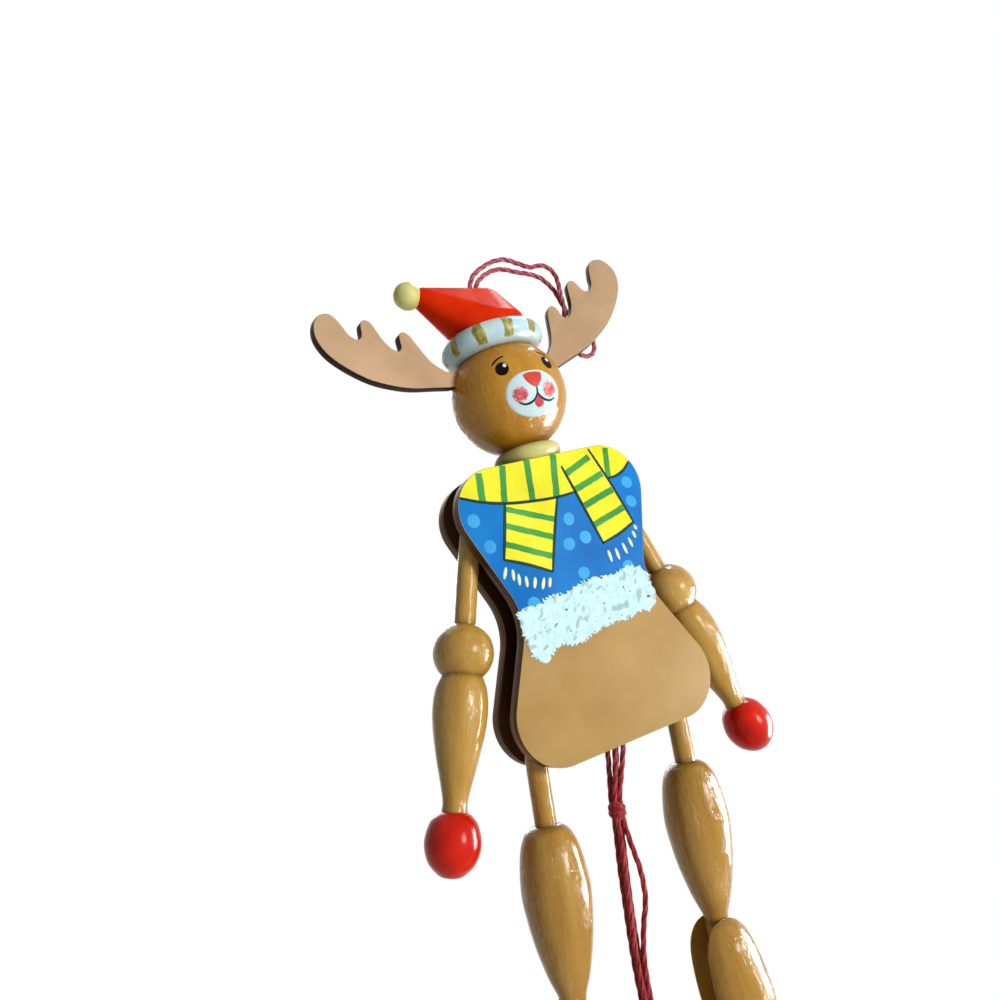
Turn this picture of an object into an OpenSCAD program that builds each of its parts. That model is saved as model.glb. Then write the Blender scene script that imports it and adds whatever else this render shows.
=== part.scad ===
// Pull-string jumping jack: a wooden reindeer figure with a striped-brim hat.
// +Z is up, the figure faces -Y, and the origin is the hole at the hat's top.
// The limbs lie as they hang in the picture: both legs swing a little to -X.

/* [Head] */
// Diameter of the turned head
head_d = 36; // [32:1:42]
// Height of the hanging hole above the middle of the head
hang_rise = 37; // [36:0.5:40]
// Height of the flat seat under the hat, above the middle of the head
hat_seat_z = 13.4; // [12:0.2:14.5]
// Depth of the flat seat on the neck ring, below the middle of the head
neck_seat_z = 17; // [16.4:0.1:17.4]

/* [Hat] */
// Outer diameter of the white brim
brim_d = 32.6; // [28:0.2:36]
// Height of the white brim
brim_h = 7.8; // [6:0.2:9]
// Diameter of the red cone where it meets the brim
cone_d = 22.8; // [20:0.2:25]
// Offset of the cone's foot from the head's axis
cone_x = 1; // [0:0.1:1.5]
// Rise of the cone's widest ring above its foot
cone_bulge_z = 2.2; // [1:0.1:4]
// Diameter of the cone's rounded bend
bend_d = 11; // [9:0.2:12]
// Distance of the bend from the head's axis
bend_x = 2.6; // [1:0.1:4]
// Diameter of the cone's tip
tip_d = 7.4; // [5:0.2:8]
// Distance of the cone's tip from the head's axis
tip_x = 17.6; // [14:0.2:20]
// Height of the cone's tip above the bend
tip_rise = 4; // [2:0.2:6]
// Diameter of the spigot that holds the hat on the head
spigot_d = 8; // [6:0.5:10]
// Length of the spigot inside the head
spigot_l = 6; // [4:0.5:8]
// Diameter of the gold bead at the tip
pompom_d = 8.6; // [7:0.2:10]
// How far the gold bead is let into the cone's tip
pompom_sink = 2.8; // [1:0.1:3]
// Lift of the gold bead's middle, seen from the cone's tip
pompom_lift = 18; // [0:1:45]
// Diameter of the hole for the hanging cord
hang_hole_d = 4.2; // [3.8:0.1:5]
// Depth of the hole for the hanging cord
hang_hole_h = 6; // [4:0.5:8]

/* [Antlers] */
// Reach of an antler from the side of the head
antler_reach = 41; // [36:0.2:44]
// Rise of an antler's highest tip above its root
antler_rise = 23.1; // [20:0.1:26]
// Thickness of the antler board
antler_t = 3; // [2.4:0.1:4]
// Height of an antler's root above the middle of the head
antler_z = 8.3; // [6:0.1:9]
// Length of the root inside the head
antler_root_l = 6; // [4:0.5:8]
// Forward sweep of both antlers
antler_sweep = 10; // [4:0.5:12]
// Lift of the left antler about its root
antler_lift_left = -1.4; // [-4:0.1:12]
// Lift of the right antler about its root
antler_lift_right = 16.3; // [8:0.1:18]

/* [Neck] */
// Diameter of the gold neck ring
ring_d = 21; // [18:0.5:24]
// Thickness of the gold neck ring
ring_t = 4.8; // [3.5:0.1:5]
// Diameter of the neck dowel
dowel_d = 5; // [4:0.2:5.6]
// Length of the dowel inside the head
dowel_in_head = 10; // [7:0.5:12]
// Length of the dowel inside the neck block
dowel_in_block = 7; // [5:0.5:7.5]
// Width of the neck block between the boards
block_w = 18; // [12:0.5:20]
// Height of the neck block, as a share of the board's height
block_share = 0.106; // [0.1:0.002:0.112]

/* [Body boards] */
// Thickness of each body board
board_t = 4.5; // [3:0.1:5.5]
// Gap between the two boards
board_gap = 7.6; // [7:0.1:9]
// Height of a board
board_h = 84.8; // [80:0.2:95]
// Radius of a shoulder, as a share of the board's height
shoulder_share = 0.15; // [0.13:0.005:0.165]
// Distance of a shoulder's middle from the centre line
shoulder_x = 18.4; // [16:0.1:20]
// Radius of a hip, as a share of the board's height
hip_share = 0.153; // [0.13:0.001:0.165]
// Distance of a hip's middle from the centre line
hip_x = 20; // [18:0.1:22]
// Radius of the hollow at the waist, as a share of the board's height
waist_r_share = 0.224; // [0.19:0.002:0.25]
// Half width of the board at the waist
waist_x = 22.3; // [20:0.1:24]
// Depth of the waist below the board's top edge, as a share of the board's height
waist_drop_share = 0.502; // [0.48:0.002:0.53]
// Diameter of the two waist spacers
spacer_d = 6; // [5:0.5:8]
// Distance of a waist spacer from the centre line
spacer_x = 13; // [10:0.5:15]

/* [Pivots] */
// Diameter of the shoulder and hip pins
pin_d = 3; // [2.5:0.1:3.4]
// Depth of the blind pin holes in the front board
pin_blind = 3; // [2:0.1:3.5]
// Distance of a shoulder pivot from the centre line
arm_pivot_x = 25.5; // [23:0.1:26]
// Depth of a shoulder pivot below the middle of the shoulder
arm_pivot_sink = 2.5; // [0.5:0.1:4]
// Distance of a hip pivot from the centre line
leg_pivot_x = 24.5; // [22:0.1:26]
// Height of a hip pivot above the middle of the hip
leg_pivot_rise = 5.1; // [2:0.1:7]
// Outward lean of the left arm as it hangs
arm_lean_left = 21.5; // [18:0.5:25]
// Outward lean of the right arm as it hangs
arm_lean_right = 14.4; // [14:0.1:25]
// Outward lean of the left thigh as it hangs
leg_lean_left = 9.4; // [5:0.1:12]
// Outward lean of the right thigh as it hangs
leg_lean_right = -9.2; // [-10:0.1:5]

/* [Limbs] */
// Diameter of the rods of the arms and thighs
rod_d = 6; // [5:0.1:6.4]
// Length of a rod past its pivot, inside the body
tail_l = 8; // [7:0.1:8.5]
// Distance of the string hole from the pivot
string_reach = 5.6; // [5:0.1:6]
// Diameter of the string hole
string_hole_d = 1.8; // [1.4:0.1:2]
// Distance from the shoulder pivot to the top of the elbow ball
ball_drop = 26.4; // [25:0.2:28]
// Diameter of the elbow ball
ball_d = 16.8; // [15:0.1:18]
// Distance from the shoulder pivot to the wrist
wrist_drop = 75.4; // [72:0.2:78]
// Largest diameter of the forearm
forearm_d = 15; // [14:0.1:17]
// Diameter of a hand bead
hand_d = 14.8; // [13:0.1:17]
// Length of a hand bead
hand_l = 15.8; // [14:0.1:20]
// Distance from the hip pivot to the top of the thigh's swelling
thigh_drop = 31.5; // [30:0.2:34]
// Length of the thigh's swelling
thigh_l = 43; // [40:0.2:46]
// Largest diameter of the thigh
thigh_d = 18.6; // [17:0.1:20]
// Length of the knee's tongue from the thigh's swelling to the knee pin
tongue_l = 8.5; // [8:0.1:11]
// Diameter of the knee's tongue
tongue_d = 6.8; // [6:0.1:7]
// Width of the fork's slot
slot_w = 7.6; // [7.4:0.1:8.4]
// Depth of the fork's slot below the knee pin
slot_h = 20; // [14:0.5:24]
// Height of the fork's top above the knee pin
fork_rise = 9.6; // [7:0.1:9.8]
// Length of the lower leg from the fork's top to the ankle
shin_l = 62; // [56:0.5:68]
// Largest diameter of the lower leg
shin_d = 20.2; // [18:0.1:22]
// Diameter of a knee pin
knee_pin_d = 2.4; // [2:0.1:2.8]
// Diameter of a foot bead
foot_d = 16; // [14:0.1:18]
// Length of a foot bead
foot_l = 19; // [16:0.1:22]
// Diameter of the tenons in the hand and foot beads
tenon_d = 4.6; // [4:0.1:5]
// Length of the tenons in the hand and foot beads
tenon_l = 9; // [6:0.5:10]

/* [Cords] */
// Diameter of the hanging cord and the pull strands
cord_d = 1.6; // [1.2:0.1:1.6]
// Diameter of the link strings inside the body
string_d = 1.2; // [1:0.1:1.4]
// Diameter of the knot under the body
knot_d = 5.4; // [5:0.1:6]
// Height of the knot under the body
knot_h = 6; // [5.6:0.1:7]
// Diameter of the pull bead
bead_d = 12; // [10:0.2:13]
// Diameter of the knot under the pull bead
end_knot_d = 4.6; // [4.4:0.1:6]

/* [Fits] */
// Clearance on each side of a glued or pressed joint
seat_gap = 0.05; // [0.03:0.01:0.1]
// Clearance on each side of a turning pin
run_gap = 0.06; // [0.03:0.01:0.08]
// Clearance of soft or loose pieces
loose_gap = 0.3; // [0.3:0.05:0.5]

/* [Hidden] */
// Overrun of the cuts
cut = 1;
// Facets of round pieces and of small ones
round_fn = 72;
small_fn = 32;
// Steps along each arc of a board's outline
arc_steps = 20;
// Sides of a cord's tube
cord_sides = 8;

// Widest ring of the cone as a share of its foot's diameter
cone_bulge_share = 1.03;

// Heights of the stack, measured from the hanging hole
head_z = -hang_rise;
brim_z = head_z + hat_seat_z;
cone_z = brim_z + brim_h;
ring_z = head_z - neck_seat_z - ring_t;
board_top = ring_z;
board_bottom = board_top - board_h;
shoulder_r = shoulder_share * board_h;
hip_r = hip_share * board_h;
waist_r = waist_r_share * board_h;
shoulder_z = board_top - shoulder_r;
hip_z = board_bottom + hip_r;
waist_z = board_top - waist_drop_share * board_h;
block_h = block_share * board_h;
arm_pivot_z = shoulder_z - arm_pivot_sink;
leg_pivot_z = hip_z + leg_pivot_rise;
knee_drop = thigh_drop + thigh_l + tongue_l;
bend_z = -bend_d / 2;
tip_z = bend_z + tip_rise;
bulge_d = cone_bulge_share * cone_d;
bulge_x = cone_x - (bulge_d - cone_d) / 2;
board_mid = (board_gap + board_t) / 2;
body_back = board_gap / 2 + board_t;

// Outlines as shares: [share of the largest radius, share of the length]
forearm_shares = [[0.76, 0], [0.93, 0.1], [1, 0.24], [0.95, 0.4], [0.76, 0.62],
    [0.56, 0.8], [0.44, 0.93], [0.46, 1]];
hand_shares = [[0.45, 0], [0.68, 0.06], [0.9, 0.2], [1, 0.42], [0.95, 0.62],
    [0.77, 0.8], [0.45, 0.95], [0.21, 0.99], [0, 1]];
thigh_shares = [[0.48, 0], [0.72, 0.05], [0.9, 0.16], [1, 0.34], [0.97, 0.48],
    [0.84, 0.66], [0.62, 0.84], [0.42, 0.95], [0.36, 1]];
shin_shares = [[0, 0], [0.42, 0.015], [0.7, 0.06], [0.89, 0.14], [1, 0.3],
    [0.97, 0.42], [0.82, 0.6], [0.62, 0.78], [0.46, 0.92], [0.43, 1]];
// Antler outline as shares of its reach and its rise, from the root's lower corner
antler_shares = [[0.073, -0.108], [0.2, -0.091], [0.38, -0.069], [0.524, -0.013],
    [0.673, 0.082], [0.812, 0.238], [0.915, 0.398], [0.971, 0.537], [1, 0.693], [0.99, 0.84],
    [0.949, 0.961], [0.878, 1], [0.827, 0.961], [0.783, 0.831], [0.754, 0.71], [0.705, 0.641],
    [0.668, 0.658], [0.651, 0.719], [0.644, 0.797], [0.632, 0.861], [0.6, 0.892],
    [0.559, 0.857], [0.532, 0.749], [0.502, 0.61], [0.456, 0.494], [0.405, 0.446],
    [0.373, 0.494], [0.368, 0.58], [0.361, 0.658], [0.329, 0.701], [0.283, 0.662],
    [0.244, 0.532], [0.198, 0.359], [0.156, 0.247], [0.112, 0.177], [0.063, 0.113]];
// Half length of a knee pin as a share of the lower leg's diameter
knee_pin_share = 0.38;
// Sag of a link string at its middle
string_sag = 2.4;
// Height of the antler's root as a share of its rise
antler_root_share = 0.208;
// Steps from one point of the antler's outline to the next
antler_steps = 3;

// Route of the hanging cord: out of the hat, through the antler's notch and back
loop_route = [[-0.9, 0, -5.9], [-0.9, 0, -2], [-0.8, -0.2, 1.2], [1.2, -0.7, 4.6], [5, -1.1, 7],
    [9.4, -1.3, 8.7], [14, -1.3, 9.1], [18.6, -1.2, 7.3], [22.6, -1.1, 5.8], [26.4, -1.1, 6.2],
    [29.4, -1, 5.2], [31.1, -1.1, 2.4], [31, -1.4, -0.8], [30.4, -1.7, -4.2], [29.9, -2, -7.3],
    [29.7, -2, -9.6], [29.6, -1, -11.9], [29.6, 0.2, -14], [29.5, 0.5, -17], [29.5, 0.5, -20.5],
    [30, 0.5, -23.6], [31.7, 0.5, -26], [34.3, 0.5, -26.9], [36.8, 0.5, -25.9],
    [38.1, 0.5, -23.4], [37.9, 0.5, -20.6], [36.6, 0.6, -18], [34.6, 0.8, -15.2],
    [32.9, 0.9, -11.9], [31.8, 0.9, -8.7], [31, 0.9, -5.4], [30.2, 0.9, -2.4], [28.8, 1.1, 0.4],
    [26.6, 1.2, 2.9], [23.4, 1.3, 4.5], [18.6, 1.2, 5.6], [14, 1.2, 7], [10, 1.2, 6.9],
    [6, 1, 5.3], [2.8, 0.6, 2.9], [1.1, 0.2, 0.4], [0.9, 0, -2], [0.9, 0, -5.9]];
// Routes of the pull strands, measured from the underside of the leg string
strand_left = [[-1, 0.9, 0], [-1.6, 0.9, -7], [-2.6, 0.9, -15], [-4, 0.9, -22],
    [-6, 0.9, -29], [-7.6, 0.8, -34], [-8.4, 0.8, -38], [-9.2, 0.8, -42],
    [-10.4, 0.8, -47], [-11.8, 0.9, -53], [-13.4, 0.9, -61], [-15, 0.9, -69],
    [-16.4, 0.9, -77], [-17.4, 0.9, -85], [-17.9, 0.9, -93], [-18, 0.9, -101],
    [-18, 0.9, -109], [-18, 0.9, -119], [-18, 0.9, -127]];
strand_middle = [[0.9, 0.9, 0], [0.8, 0.9, -7], [0.2, 0.9, -15], [-1, 0.9, -22],
    [-3.6, 0.9, -29], [-5.6, 0.8, -34], [-6.5, 0.8, -38], [-7.3, 0.8, -42],
    [-8.4, 0.8, -47], [-9.8, 0.9, -53], [-11.6, 0.9, -61], [-13.2, 0.9, -69],
    [-14.6, 0.9, -77], [-15.6, 0.9, -85], [-16.1, 0.9, -93], [-16.2, 0.9, -101],
    [-16.2, 0.9, -109], [-16.2, 0.9, -119], [-16.2, 0.9, -127]];
strand_front = [[-1, -0.9, 0], [-1.2, -0.9, -7], [-1.4, -0.9, -15], [-2.6, -0.9, -22],
    [-5.2, -0.9, -29], [-7.4, -0.9, -34], [-8.4, -0.8, -38], [-9, -0.8, -42],
    [-10, -0.8, -47], [-11.4, -0.9, -53], [-13.2, -0.9, -61], [-15, -0.9, -69],
    [-16.4, -0.9, -77], [-17.4, -0.9, -85], [-17.9, -0.9, -93], [-18, -0.9, -101],
    [-18, -0.9, -109], [-18, -0.9, -119], [-18, -0.9, -127]];
strand_right = [[0.9, -0.9, 0], [1.4, -0.9, -7], [1.6, -0.9, -15], [0.4, -0.9, -22],
    [-3, -0.9, -29], [-5.6, -0.9, -34], [-6.5, -0.8, -38], [-7, -0.8, -42],
    [-7, -0.9, -48], [-6.8, -1, -55], [-8, -1, -62], [-11, -0.9, -68],
    [-13.8, -0.9, -75], [-15.4, -0.9, -83], [-16, -0.9, -91], [-16.2, -0.9, -99],
    [-16.2, -0.9, -109], [-16.2, -0.9, -119], [-16.2, -0.9, -127]];
// Places of the knot and the bead on the pull strands
knot_at = [-7.5, 0, -38];
bead_at = [-17.1, 0, -115];

// Colours of the finishes
wood = "peru";
stain = "sienna";
tan_board = "tan";
red = "firebrick";
gold = "goldenrod";
cord_red = "crimson";

// Vector helpers
function unit(v) = v / norm(v);
function flat_dir(a) = [cos(a), sin(a)];

// A curve through a list of points, with steps pieces between each pair
function spline_at(a, b, c, d, t) = 0.5 * (2 * b + (c - a) * t
    + (2 * a - 5 * b + 4 * c - d) * t * t + (3 * b - a - 3 * c + d) * t * t * t);
function spline(p, steps) = let (n = len(p)) concat(
    [for (i = [0 : n - 2], k = [0 : steps - 1])
        spline_at(p[max(i - 1, 0)], p[i], p[i + 1], p[min(i + 2, n - 1)], k / steps)],
    [p[n - 1]]);

// A round tube along a route, with one ring of corners at each point
function heading(p, i) = unit(p[min(i + 1, len(p) - 1)] - p[max(i - 1, 0)]);
function square_to(v, t) = unit(v - (v * t) * t);
function carry(p, v, i = 0) = let (s = square_to(v, heading(p, i)))
    i == len(p) - 1 ? [s] : concat([s], carry(p, s, i + 1));
function ring_points(p, s, r) = [for (i = [0 : len(p) - 1], k = [0 : cord_sides - 1])
    let (t = heading(p, i), a = 360 * k / cord_sides)
    p[i] + r * (cos(a) * s[i] + sin(a) * cross(t, s[i]))];
module tube(p, d) {
    n = len(p);
    m = cord_sides;
    walls = [for (i = [0 : n - 2], k = [0 : m - 1])
        [i * m + k, i * m + (k + 1) % m, (i + 1) * m + (k + 1) % m, (i + 1) * m + k]];
    caps = [[for (k = [0 : m - 1]) k], [for (k = [m - 1 : -1 : 0]) (n - 1) * m + k]];
    faces = concat([for (f = walls) [f[0], f[2], f[1]]], [for (f = walls) [f[0], f[3], f[2]]],
        caps);
    polyhedron(ring_points(p, carry(p, [0, 1, 0]), d / 2), faces);
}

// A rod along Y, through the middle of y0 and y1
module rod_y(d, y0, y1) {
    translate([0, y1, 0]) rotate([90, 0, 0]) cylinder(d = d, h = y1 - y0, $fn = round_fn);
}

// A turned piece that hangs down from its top, from a table of shares
module turned(shares, d, l) {
    curve = spline([for (s = shares) [s[0] * d / 2, -s[1] * l]], 4);
    rim = [for (q = curve) [max(q[0], 0), q[1]]];
    rotate_extrude($fn = round_fn) polygon(concat([[0, 0]], rim, [[0, -l]]));
}

// A disc with a half-round edge, standing on z = 0
module round_disc(d, h) {
    rotate_extrude($fn = round_fn) {
        square([(d - h) / 2, h]);
        translate([(d - h) / 2, h / 2]) intersection() {
            circle(d = h, $fn = small_fn);
            translate([0, -h / 2]) square([h, h]);
        }
    }
}

// Direction of the straight that touches two circles from opposite sides
function touch_dir(a, ra, b, rb, turn) = let (d = b - a)
    atan2(d[1], d[0]) + turn * acos((ra + rb) / norm(d));

// Points along an arc; a negative radius bends it the other way
function arc(c, r, a, b) =
    [for (i = [0 : arc_steps]) c + r * flat_dir(a + (b - a) * i / arc_steps)];

// Outline of a body board: shoulders, waist and hips joined by touching lines
module board_outline() {
    s = [shoulder_x, shoulder_z];
    h = [hip_x, hip_z];
    w = [waist_x + waist_r, waist_z];
    us = touch_dir(s, shoulder_r, w, waist_r, 1);
    uh = touch_dir(h, hip_r, w, waist_r, -1);
    half = concat(arc(s, shoulder_r, 90, us), arc(w, -waist_r, us, uh),
        arc(h, hip_r, uh, -90));
    other = [for (i = [len(half) - 1 : -1 : 0]) [-half[i][0], half[i][1]]];
    polygon(concat(half, other));
}
module board(y0) {
    translate([0, y0 + board_t, 0]) rotate([90, 0, 0])
        linear_extrude(board_t) board_outline();
}

// Places things at the pivots of both arms or both legs
module at_pivots(x, z) {
    for (side = [-1, 1]) translate([side * x, 0, z]) children();
}
module pin_holes() {
    y0 = -board_gap / 2 - pin_blind - seat_gap;
    d = pin_d + 2 * seat_gap;
    at_pivots(arm_pivot_x, arm_pivot_z) rod_y(d, y0, body_back + cut);
    at_pivots(leg_pivot_x, leg_pivot_z) rod_y(d, y0, body_back + cut);
}
module pivot_pin() {
    rod_y(pin_d, -board_gap / 2 - pin_blind, body_back);
}

module front_board() {
    color(tan_board) difference() {
        board(-body_back);
        pin_holes();
    }
}
module back_board() {
    color(stain) difference() {
        board(board_gap / 2);
        pin_holes();
    }
}
module neck_block() {
    color(stain) difference() {
        translate([-block_w / 2, -board_gap / 2, board_top - block_h])
            cube([block_w, board_gap, block_h]);
        translate([0, 0, board_top - dowel_in_block - seat_gap])
            cylinder(d = dowel_d + 2 * seat_gap, h = dowel_in_block + cut, $fn = round_fn);
    }
}
module waist_spacers() {
    color(wood) at_pivots(spacer_x, waist_z) rod_y(spacer_d, -board_gap / 2, board_gap / 2);
}
module shoulder_pins() {
    color("silver") at_pivots(arm_pivot_x, arm_pivot_z) pivot_pin();
}
module hip_pins() {
    color("silver") at_pivots(leg_pivot_x, leg_pivot_z) pivot_pin();
}
module neck_dowel() {
    color(wood) translate([0, 0, board_top - dowel_in_block])
        cylinder(d = dowel_d, h = dowel_in_block + ring_t + dowel_in_head, $fn = round_fn);
}
module neck_ring() {
    color(gold) difference() {
        translate([0, 0, ring_z]) round_disc(ring_d, ring_t);
        translate([0, 0, ring_z - cut])
            cylinder(d = dowel_d + 2 * seat_gap, h = ring_t + 2 * cut, $fn = round_fn);
    }
}

// Places an antler's local drawing at the head's side
module at_antler(side, lift) {
    root_x = sqrt(pow(head_d / 2, 2) - pow(antler_z, 2));
    translate([side * root_x, 0, head_z + antler_z])
        rotate([0, -side * lift, -side * antler_sweep])
            scale_side(side) children();
}
module scale_side(side) {
    if (side < 0) mirror([1, 0, 0]) children();
    else children();
}
module antler_outline() {
    half = antler_root_share * antler_rise / 2;
    edge = [for (s = antler_shares) [s[0] * antler_reach, s[1] * antler_rise]];
    polygon(concat([[-antler_root_l, half], [-antler_root_l, -half]],
        spline(edge, antler_steps)));
}
module antler(side, lift) {
    at_antler(side, lift) translate([0, antler_t / 2, 0]) rotate([90, 0, 0])
        linear_extrude(antler_t) antler_outline();
}
module antler_slot(side, lift) {
    slot_t = antler_t + 2 * seat_gap;
    at_antler(side, lift) translate([0, slot_t / 2, 0]) rotate([90, 0, 0])
        linear_extrude(slot_t) offset(delta = seat_gap) antler_outline();
}
module head() {
    color(wood) difference() {
        translate([0, 0, head_z]) sphere(d = head_d, $fn = round_fn);
        translate([-head_d / 2, -head_d / 2, brim_z]) cube([head_d, head_d, head_d]);
        translate([-head_d / 2, -head_d / 2, head_z - neck_seat_z - head_d])
            cube([head_d, head_d, head_d]);
        translate([0, 0, brim_z - spigot_l - seat_gap])
            cylinder(d = spigot_d + 2 * seat_gap, h = spigot_l + cut, $fn = round_fn);
        translate([0, 0, head_z - neck_seat_z - cut])
            cylinder(d = dowel_d + 2 * seat_gap, h = dowel_in_head + cut + seat_gap,
                $fn = round_fn);
        antler_slot(-1, antler_lift_left);
        antler_slot(1, antler_lift_right);
    }
}
module left_antler() {
    color(tan_board) antler(-1, antler_lift_left);
}
module right_antler() {
    color(tan_board) antler(1, antler_lift_right);
}
module hat_brim() {
    color("white") difference() {
        translate([0, 0, brim_z]) round_disc(brim_d, brim_h);
        translate([0, 0, brim_z - cut])
            cylinder(d = spigot_d + 2 * seat_gap, h = brim_h + 2 * cut, $fn = round_fn);
    }
}

// The seat of the gold bead, sunk a little into the tip of the cone
module at_pompom() {
    reach = (tip_d + pompom_d) / 2 - pompom_sink;
    translate([-tip_x - reach * cos(pompom_lift), 0, tip_z + reach * sin(pompom_lift)])
        children();
}
module hat_cone() {
    color(red) difference() {
        union() {
            hull() {
                translate([cone_x, 0, cone_z]) cylinder(d = cone_d, h = cut, $fn = 64);
                translate([bulge_x, 0, cone_z + cone_bulge_z])
                    cylinder(d = bulge_d, h = cut, $fn = 64);
                translate([bend_x, 0, bend_z]) sphere(d = bend_d, $fn = small_fn);
                translate([-tip_x, 0, tip_z]) sphere(d = tip_d, $fn = small_fn);
            }
            translate([0, 0, brim_z - spigot_l])
                cylinder(d = spigot_d, h = spigot_l + brim_h + cut, $fn = round_fn);
        }
        translate([0, 0, -hang_hole_h])
            cylinder(d = hang_hole_d, h = hang_hole_h + bend_d, $fn = round_fn);
        at_pompom() sphere(d = pompom_d + 2 * seat_gap, $fn = round_fn);
    }
}
module pompom() {
    color(gold) at_pompom() sphere(d = pompom_d, $fn = round_fn);
}
module hanging_loop() {
    color(cord_red) tube(loop_route, cord_d);
}

// Turns a limb that hangs down from its pivot outward by its lean
module hang(side, x, z, lean) {
    translate([side * x, 0, z]) rotate([0, -side * lean, 0]) children();
}
module rod_tail(l) {
    difference() {
        union() {
            translate([0, 0, -l]) cylinder(d = rod_d, h = l + tail_l - rod_d / 2, $fn = round_fn);
            translate([0, 0, tail_l - rod_d / 2]) sphere(d = rod_d, $fn = round_fn);
        }
        rod_y(pin_d + 2 * run_gap, -rod_d, rod_d);
        translate([0, 0, string_reach]) rod_y(string_hole_d, -rod_d, rod_d);
    }
}
module arm(side, lean) {
    neck_z = ball_drop + ball_d - forearm_overlap();
    hang(side, arm_pivot_x, arm_pivot_z, lean) {
        rod_tail(ball_drop + ball_d / 2);
        translate([0, 0, -ball_drop - ball_d / 2]) sphere(d = ball_d, $fn = round_fn);
        translate([0, 0, -neck_z]) turned(forearm_shares, forearm_d, wrist_drop - neck_z);
        translate([0, 0, -wrist_drop - tenon_l])
            cylinder(d = tenon_d, h = tenon_l + cut, $fn = round_fn);
    }
}
// How far the forearm's top reaches into the elbow ball
function forearm_overlap() = let (r = forearm_shares[0][0] * forearm_d / 2)
    ball_d / 2 - sqrt(pow(ball_d / 2, 2) - r * r);
module bead_end(d, l) {
    difference() {
        turned(hand_shares, d, l);
        translate([0, 0, -tenon_l - seat_gap])
            cylinder(d = tenon_d + 2 * seat_gap, h = tenon_l + cut, $fn = round_fn);
    }
}
module hand(side, lean) {
    color(red) hang(side, arm_pivot_x, arm_pivot_z, lean)
        translate([0, 0, -wrist_drop]) bead_end(hand_d, hand_l);
}
module left_arm() {
    color(wood) arm(-1, arm_lean_left);
}
module right_arm() {
    color(wood) arm(1, arm_lean_right);
}
module left_hand() {
    hand(-1, arm_lean_left);
}
module right_hand() {
    hand(1, arm_lean_right);
}

module thigh(side, lean) {
    color(wood) hang(side, leg_pivot_x, leg_pivot_z, lean) {
        rod_tail(thigh_drop + rod_d);
        translate([0, 0, -thigh_drop]) turned(thigh_shares, thigh_d, thigh_l);
        difference() {
            union() {
                translate([0, 0, -knee_drop])
                    cylinder(d = tongue_d, h = knee_drop - thigh_drop - thigh_l + cut,
                        $fn = round_fn);
                translate([0, 0, -knee_drop]) sphere(d = tongue_d, $fn = round_fn);
            }
            translate([0, 0, -knee_drop])
                rod_y(knee_pin_d + 2 * run_gap, -tongue_d, tongue_d);
        }
    }
}
module left_thigh() {
    thigh(-1, leg_lean_left);
}
module right_thigh() {
    thigh(1, leg_lean_right);
}

// Places a lower leg plumb under the end of its thigh
module at_knee(side, lean) {
    translate([side * (leg_pivot_x + knee_drop * sin(lean)), 0,
        leg_pivot_z - knee_drop * cos(lean)]) children();
}
module shin(side, lean) {
    ankle_z = fork_rise - shin_l;
    pin_half = shin_d * knee_pin_share;
    color(wood) at_knee(side, lean) difference() {
        union() {
            translate([0, 0, fork_rise]) turned(shin_shares, shin_d, shin_l);
            translate([0, 0, ankle_z - tenon_l])
                cylinder(d = tenon_d, h = tenon_l + cut, $fn = round_fn);
        }
        translate([-shin_d, -slot_w / 2, -slot_h + slot_w / 2])
            cube([2 * shin_d, slot_w, slot_h + shin_d]);
        rod_y(knee_pin_d + 2 * seat_gap, -pin_half - seat_gap, shin_d);
    }
}
module knee_pin(side, lean) {
    color("silver") at_knee(side, lean)
        rod_y(knee_pin_d, -shin_d * knee_pin_share, shin_d * knee_pin_share);
}
module foot(side, lean) {
    color(red) at_knee(side, lean)
        translate([0, 0, fork_rise - shin_l]) bead_end(foot_d, foot_l);
}
module left_shin() {
    shin(-1, leg_lean_left);
}
module right_shin() {
    shin(1, leg_lean_right);
}
module left_knee_pin() {
    knee_pin(-1, leg_lean_left);
}
module right_knee_pin() {
    knee_pin(1, leg_lean_right);
}
module left_foot() {
    foot(-1, leg_lean_left);
}
module right_foot() {
    foot(1, leg_lean_right);
}

// Where a link string meets a rod's tail
function tail_at(side, x, z, lean) =
    [side * (x - string_reach * sin(lean)), 0, z + string_reach * cos(lean)];
function beside_rod(side) = [-side * (rod_d / 2 + loose_gap), 0, 0];
module link_string(x, z, lean_left, lean_right) {
    a = tail_at(-1, x, z, lean_left) + beside_rod(-1);
    b = tail_at(1, x, z, lean_right) + beside_rod(1);
    low = [0, 0, z + string_reach - string_sag];
    color(cord_red) tube([a, (a + low) / 2, low, (b + low) / 2, b], string_d);
}
module arm_string() {
    link_string(arm_pivot_x, arm_pivot_z, arm_lean_left, arm_lean_right);
}
module leg_string() {
    link_string(leg_pivot_x, leg_pivot_z, leg_lean_left, leg_lean_right);
}

// Hangs the pull cord's pieces just under the middle of the leg string
module below_string() {
    low_z = leg_pivot_z + string_reach - string_sag - string_d / 2;
    translate([0, 0, low_z - seat_gap]) children();
}
module pull_strand_left() {
    color(cord_red) below_string() tube(strand_left, cord_d);
}
module pull_strand_middle() {
    color(cord_red) below_string() tube(strand_middle, cord_d);
}
module pull_strand_front() {
    color(cord_red) below_string() tube(strand_front, cord_d);
}
module pull_strand_right() {
    color(cord_red) below_string() tube(strand_right, cord_d);
}
module pull_knot() {
    color(cord_red) below_string() translate(knot_at) scale([knot_d / knot_h, knot_d / knot_h, 1])
        sphere(d = knot_h, $fn = small_fn);
}
module pull_bead() {
    color(wood) below_string() translate(bead_at) sphere(d = bead_d, $fn = round_fn);
}
module end_knot() {
    color(cord_red) below_string()
        translate(bead_at - [0, 0, (bead_d + end_knot_d) / 2 + seat_gap]) sphere(d = end_knot_d, $fn = small_fn);
}

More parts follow.
